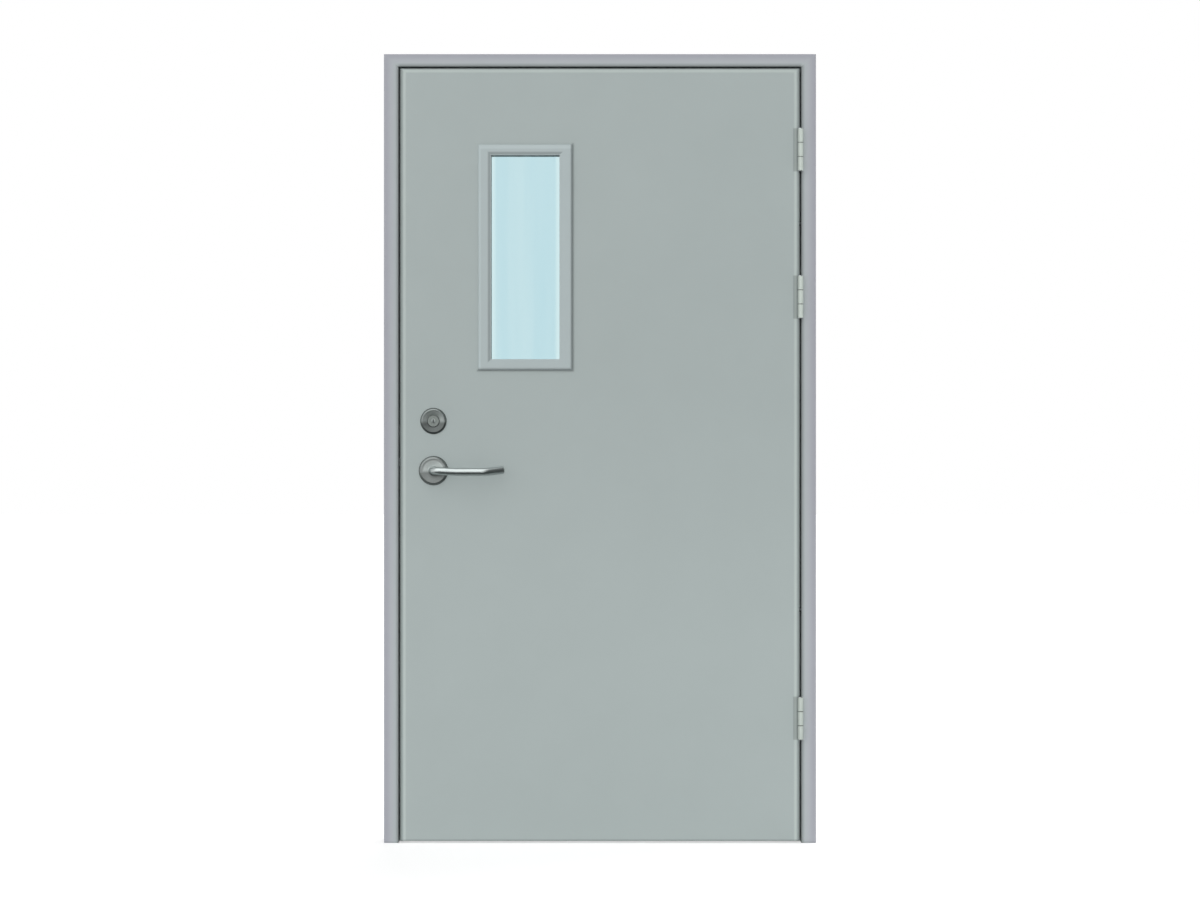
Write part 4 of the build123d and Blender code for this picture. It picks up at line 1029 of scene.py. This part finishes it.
# Pins with a domed cap at each end
CAP_HEIGHT = 2 * MM
CAP_RADIUS = 6.8 * MM
CAP_SHOULDER = 0.8 * MM
CAP_FACE_RADIUS = 6.2 * MM
PIN_RADIUS = 4 * MM
CAP_ROUNDS = (0, 1 * MM, 1 * MM, 0.2 * MM, 0)
CAP_PROFILE = (
    (0, CAP_HEIGHT),
    (CAP_FACE_RADIUS, CAP_HEIGHT),
    (CAP_RADIUS, CAP_SHOULDER),
    (CAP_RADIUS, 0),
    (PIN_RADIUS, 0),
)


def make_pins():
    pins = Piece()
    for place, level in pin_levels.items():
        height = hinge_heights[place]
        lower = [(radius, -rise) for radius, rise in CAP_PROFILE]
        upper = [(radius, height + rise) for radius, rise in reversed(CAP_PROFILE)]
        pins.turned(
            Vector((pin_x, pin_y, level - height / 2)),
            Z,
            lower + upper,
            CAP_ROUNDS + CAP_ROUNDS[::-1],
            closed=False,
            segments=HINGE_SEGMENTS,
        )
    pins.made("hinge_pins_capped", "frame", "plated_steel", "bright", ("hinge_pins",))


make_pins()

# A washer lies in each gap between two knuckles.
WASHER_HEIGHT = 1.5 * MM
WASHER_RADIUS = 7 * MM
WASHER_BORE = 4.3 * MM
WASHER_ROUNDS = (0, 0.4 * MM, 0.4 * MM, 0)
WASHER_PROFILE = (
    (WASHER_BORE, 0),
    (WASHER_RADIUS, 0),
    (WASHER_RADIUS, WASHER_HEIGHT),
    (WASHER_BORE, WASHER_HEIGHT),
)


def make_washers():
    washers = Piece()
    for place, level in pin_levels.items():
        bottom = level - hinge_heights[place] / 2
        knuckle = knuckle_height(place)
        for index in range(KNUCKLE_COUNT - 1):
            gap = bottom + knuckle + index * (knuckle + KNUCKLE_GAP)
            foot = Vector((pin_x, pin_y, gap + (KNUCKLE_GAP - WASHER_HEIGHT) / 2))
            washers.turned(foot, Z, WASHER_PROFILE, WASHER_ROUNDS, segments=HINGE_SEGMENTS)
    washers.made("hinge_washers_rounded", "frame", "brass", "brass", ("hinge_washers",))


make_washers()

# Each hinge plate has three countersunk screws: their level above its middle and place across it.
SCREW_ROWS = ((-38 * MM, 11 * MM), (0.0, 23 * MM), (38 * MM, 11 * MM))
SCREW_SHANK = 2.4 * MM
HINGE_SCREW_HEAD = 4.6 * MM
HINGE_SCREW_LENGTH = 6.5 * MM
HINGE_SCREW_PROUD = 0.15 * MM


def make_hinge_screws(owner, body, side):
    screws = Piece()
    face_x = pin_x + side * (EDGE_GAP / 2 - HINGE_SCREW_PROUD)
    for middle in pin_levels.values():
        for row, inset in SCREW_ROWS:
            face = Vector((face_x, plate_front + inset, middle + row))
            screws.screw(face, X * -side, HINGE_SCREW_HEAD, SCREW_SHANK, HINGE_SCREW_LENGTH)
    node = f"{owner}_hinge_screws"
    screws.made(f"{node}_socketed", body, "plated_steel", "bright", (node,))


make_hinge_screws("frame", "frame", 1)
make_hinge_screws("door", "leaf", -1)


# Screws of the faceplate and the strike: one at each end of the plate.
def make_plate_screws(node, body, side, head):
    low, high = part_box(node)
    screws = Piece()
    outside = high.x if side > 0 else low.x
    for level in (low.z + head, high.z - head):
        face = Vector((outside, (low.y + high.y) / 2, level))
        screws.screw(face, X * side, head, SCREW_SHANK, high.x - low.x)
    screws.made(f"{node}_socketed", body, "plated_steel", "bright", (node,))


make_plate_screws("faceplate_screws", "leaf", -1, head=4.3 * MM)
make_plate_screws("strike_screws", "frame", 1, head=3.8 * MM)

# Pan-headed screws hold the back glazing frame. Their heads have a round recess.
PAN_RADIUS = 3.6 * MM
PAN_FACE_RADIUS = 2.9 * MM
PAN_HEIGHT = 1.6 * MM
PAN_SHOULDER = 0.8 * MM
PAN_SHANK = 1.9 * MM
RECESS_TOP_RADIUS = 1.9 * MM
RECESS_FLOOR_RADIUS = 1.4 * MM
RECESS_DEPTH = 0.7 * MM
PAN_ROUNDS = (0, 0.1 * MM, 0.4 * MM, 0.4 * MM, 0.1 * MM, 0, 0.2 * MM, 0, 0)
PAN_SEGMENTS = 32


def make_glazing_screws():
    low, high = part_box("glazing_screws")
    length = high.y - low.y
    screws = Piece()
    for x in (low.x + PAN_RADIUS, high.x - PAN_RADIUS):
        for share in (0.0, 0.5, 1.0):
            z = low.z + PAN_RADIUS + share * (high.z - low.z - 2 * PAN_RADIUS)
            screws.turned(
                Vector((x, high.y, z)),
                -Y,
                (
                    (RECESS_FLOOR_RADIUS, RECESS_DEPTH),
                    (RECESS_TOP_RADIUS, 0),
                    (PAN_FACE_RADIUS, 0),
                    (PAN_RADIUS, PAN_SHOULDER),
                    (PAN_RADIUS, PAN_HEIGHT),
                    (PAN_SHANK, PAN_HEIGHT),
                    (PAN_SHANK, length),
                    (0, length),
                    (0, RECESS_DEPTH),
                ),
                PAN_ROUNDS,
                segments=PAN_SEGMENTS,
            )
    screws.made("glazing_screws_domed", "leaf", "plated_steel", "bright", ("glazing_screws",))


make_glazing_screws()


# Floor, world and lamps. Where the camera, a reflection or the glass sees them, floor and world are
# white; the floor keeps the door's shadow.
def seen_share(tree):
    path = tree.nodes.new("ShaderNodeLightPath")
    first = tree.nodes.new("ShaderNodeMath")
    first.operation = "MAXIMUM"
    tree.links.new(path.outputs["Is Camera Ray"], first.inputs[0])
    tree.links.new(path.outputs["Is Glossy Ray"], first.inputs[1])
    second = tree.nodes.new("ShaderNodeMath")
    second.operation = "MAXIMUM"
    tree.links.new(first.outputs[0], second.inputs[0])
    tree.links.new(path.outputs["Is Transmission Ray"], second.inputs[1])
    return second.outputs[0]


def make_world():
    world = bpy.data.worlds.new("studio")
    world.use_nodes = True
    tree = world.node_tree
    background = tree.nodes["Background"]
    background.inputs["Color"].default_value = (1, 1, 1, 1)
    level = tree.nodes.new("ShaderNodeMapRange")
    level.inputs["To Min"].default_value = WORLD_LEVEL
    level.inputs["To Max"].default_value = 1.0
    tree.links.new(seen_share(tree), level.inputs["Value"])
    tree.links.new(level.outputs["Result"], background.inputs["Strength"])
    bpy.context.scene.world = world


FLOOR_SIZE = 90.0
FLOOR_CELLS = 8
FLOOR_CLEARANCE = 0.2 * MM
FLOOR_COLOR = (0.90, 0.90, 0.90, 1.0)
FLOOR_DEPTH = 0.2 * MM


def make_floor():
    finish = Finish("pale_floor")
    finish.color(finish.vary(FLOOR_COLOR, 0.01, 1.5))
    finish.rough(0.85, 0.95, 4.0)
    finish.bump(finish.noise(40.0), FLOOR_DEPTH)
    finish.shader.inputs["Specular IOR Level"].default_value = 0.0
    tree = finish.tree
    glow = finish.node("ShaderNodeEmission")
    through_glass = finish.node("ShaderNodeLightPath").outputs["Is Transmission Ray"]
    less = finish.ranged(through_glass, 0.0, 1.0, FLOOR_LIFT, FLOOR_LIFT_THROUGH_GLASS)
    finish.link(finish.math("MULTIPLY", seen_share(tree), less), glow.inputs["Strength"])
    total = finish.node("ShaderNodeAddShader")
    finish.link(finish.shader.outputs[0], total.inputs[0])
    finish.link(glow.outputs[0], total.inputs[1])
    finish.link(total.outputs[0], tree.nodes["Material Output"].inputs["Surface"])
    surface = bmesh.new()
    bmesh.ops.create_grid(
        surface,
        x_segments=FLOOR_CELLS,
        y_segments=FLOOR_CELLS,
        size=FLOOR_SIZE / 2,
    )
    mesh = bpy.data.meshes.new("floor")
    surface.to_mesh(mesh)
    surface.free()
    mesh.materials.append(finish.material)
    floor = bpy.data.objects.new("floor", mesh)
    floor.location.z = cad_box[0][2] - FLOOR_CLEARANCE
    bpy.context.scene.collection.objects.link(floor)


# A broad even lamp, far off in the direction towards. level is what it adds to a white surface that
# faces it.
def make_lamp(name, towards, spread, level, mirrored):
    lamp = bpy.data.lights.new(name, "SUN")
    lamp.angle = radians(spread)
    lamp.energy = level * pi
    holder = bpy.data.objects.new(name, lamp)
    holder.location = towards
    holder.rotation_euler = (-Vector(towards)).to_track_quat("-Z", "Y").to_euler()
    holder.visible_glossy = mirrored
    holder.visible_transmission = False
    bpy.context.scene.collection.objects.link(holder)


# Dark cards on the floor and at the right show only in the metal, and give its underside and the
# lever's tip their depth. A bright card overhead gives its upper side a light edge.
CARD_SIDE = 3.0
CARD_NEAR = 0.03
CARD_REACH = 9.0
CARD_COLOR = screen(80, 86, 86)
SIDE_CARD_PLACE = 1.6
SIDE_CARD_NEAR = 0.3
SIDE_CARD_HEIGHT = 6.0
CEILING_HEIGHT = 5.0
CEILING_NEAR = 0.3
CEILING_REACH = 5.0
CEILING_RIGHT = 0.6
CEILING_LEVEL = 2.1


# Where cards start in front of the part and behind it, and which way they go on from there.
def card_starts(near):
    return ((cad_box[0][1] - near, -1), (cad_box[1][1] + near, 1))


def add_cards(name, surface, material):
    mesh = bpy.data.meshes.new(name)
    surface.to_mesh(mesh)
    surface.free()
    mesh.materials.append(material)
    cards = bpy.data.objects.new(name, mesh)
    for kind in ("camera", "diffuse", "transmission", "shadow", "volume_scatter"):
        setattr(cards, f"visible_{kind}", False)
    bpy.context.scene.collection.objects.link(cards)


def make_ceiling_card():
    finish = Finish("bright_card")
    glow = finish.node("ShaderNodeEmission")
    glow.inputs["Strength"].default_value = CEILING_LEVEL
    finish.link(glow.outputs[0], finish.tree.nodes["Material Output"].inputs["Surface"])
    surface = bmesh.new()
    for near, turn in card_starts(CEILING_NEAR):
        far = near + CEILING_REACH * turn
        corners = [(-CARD_SIDE, near), (CEILING_RIGHT, near), (CEILING_RIGHT, far), (-CARD_SIDE, far)]
        surface.faces.new([surface.verts.new((x, y, CEILING_HEIGHT)) for x, y in corners])
    add_cards("ceiling_card", surface, finish.material)


def make_cards():
    finish = Finish("dark_card")
    finish.color(finish.vary(CARD_COLOR, 0.05, 3.0))
    finish.rough(0.9, 1.0, 3.0)
    surface = bmesh.new()
    floor_level = cad_box[0][2]
    for near, turn in card_starts(CARD_NEAR):
        far = near + CARD_REACH * turn
        corners = [(-CARD_SIDE, near), (CARD_SIDE, near), (CARD_SIDE, far), (-CARD_SIDE, far)]
        surface.faces.new([surface.verts.new((x, y, floor_level)) for x, y in corners])
        start = near + SIDE_CARD_NEAR * turn
        top = floor_level + SIDE_CARD_HEIGHT
        corners = [(start, floor_level), (far, floor_level), (far, top), (start, top)]
        surface.faces.new([surface.verts.new((SIDE_CARD_PLACE, y, z)) for y, z in corners])
    add_cards("cards", surface, finish.material)


def make_camera():
    distance = PHOTO_WIDTH_AT_DOOR * LENS / SENSOR
    camera = bpy.data.cameras.new("camera")
    camera.lens = LENS
    camera.sensor_width = SENSOR
    camera.sensor_fit = "HORIZONTAL"
    camera.clip_end = CLIP_END
    holder = bpy.data.objects.new("camera", camera)
    holder.location = (CAMERA_SIDE, leaf_front - distance, CAMERA_HEIGHT)
    holder.rotation_euler = (pi / 2, 0, 0)
    bpy.context.scene.collection.objects.link(holder)
    bpy.context.scene.camera = holder


make_world()
make_floor()
make_cards()
make_ceiling_card()
make_lamp("key", towards=(-0.35, -1.0, 0.5), spread=90, level=0.365, mirrored=True)
make_lamp("front_fill", towards=(0.0, -1.0, 0.02), spread=4, level=0.27, mirrored=False)
make_lamp("back_key", towards=(0.6, 1.0, 0.7), spread=60, level=0.42, mirrored=True)
make_lamp("back_fill", towards=(-0.1, 1.0, 0.1), spread=8, level=0.16, mirrored=False)
make_camera()
bpy.context.scene.view_settings.view_transform = "Standard"
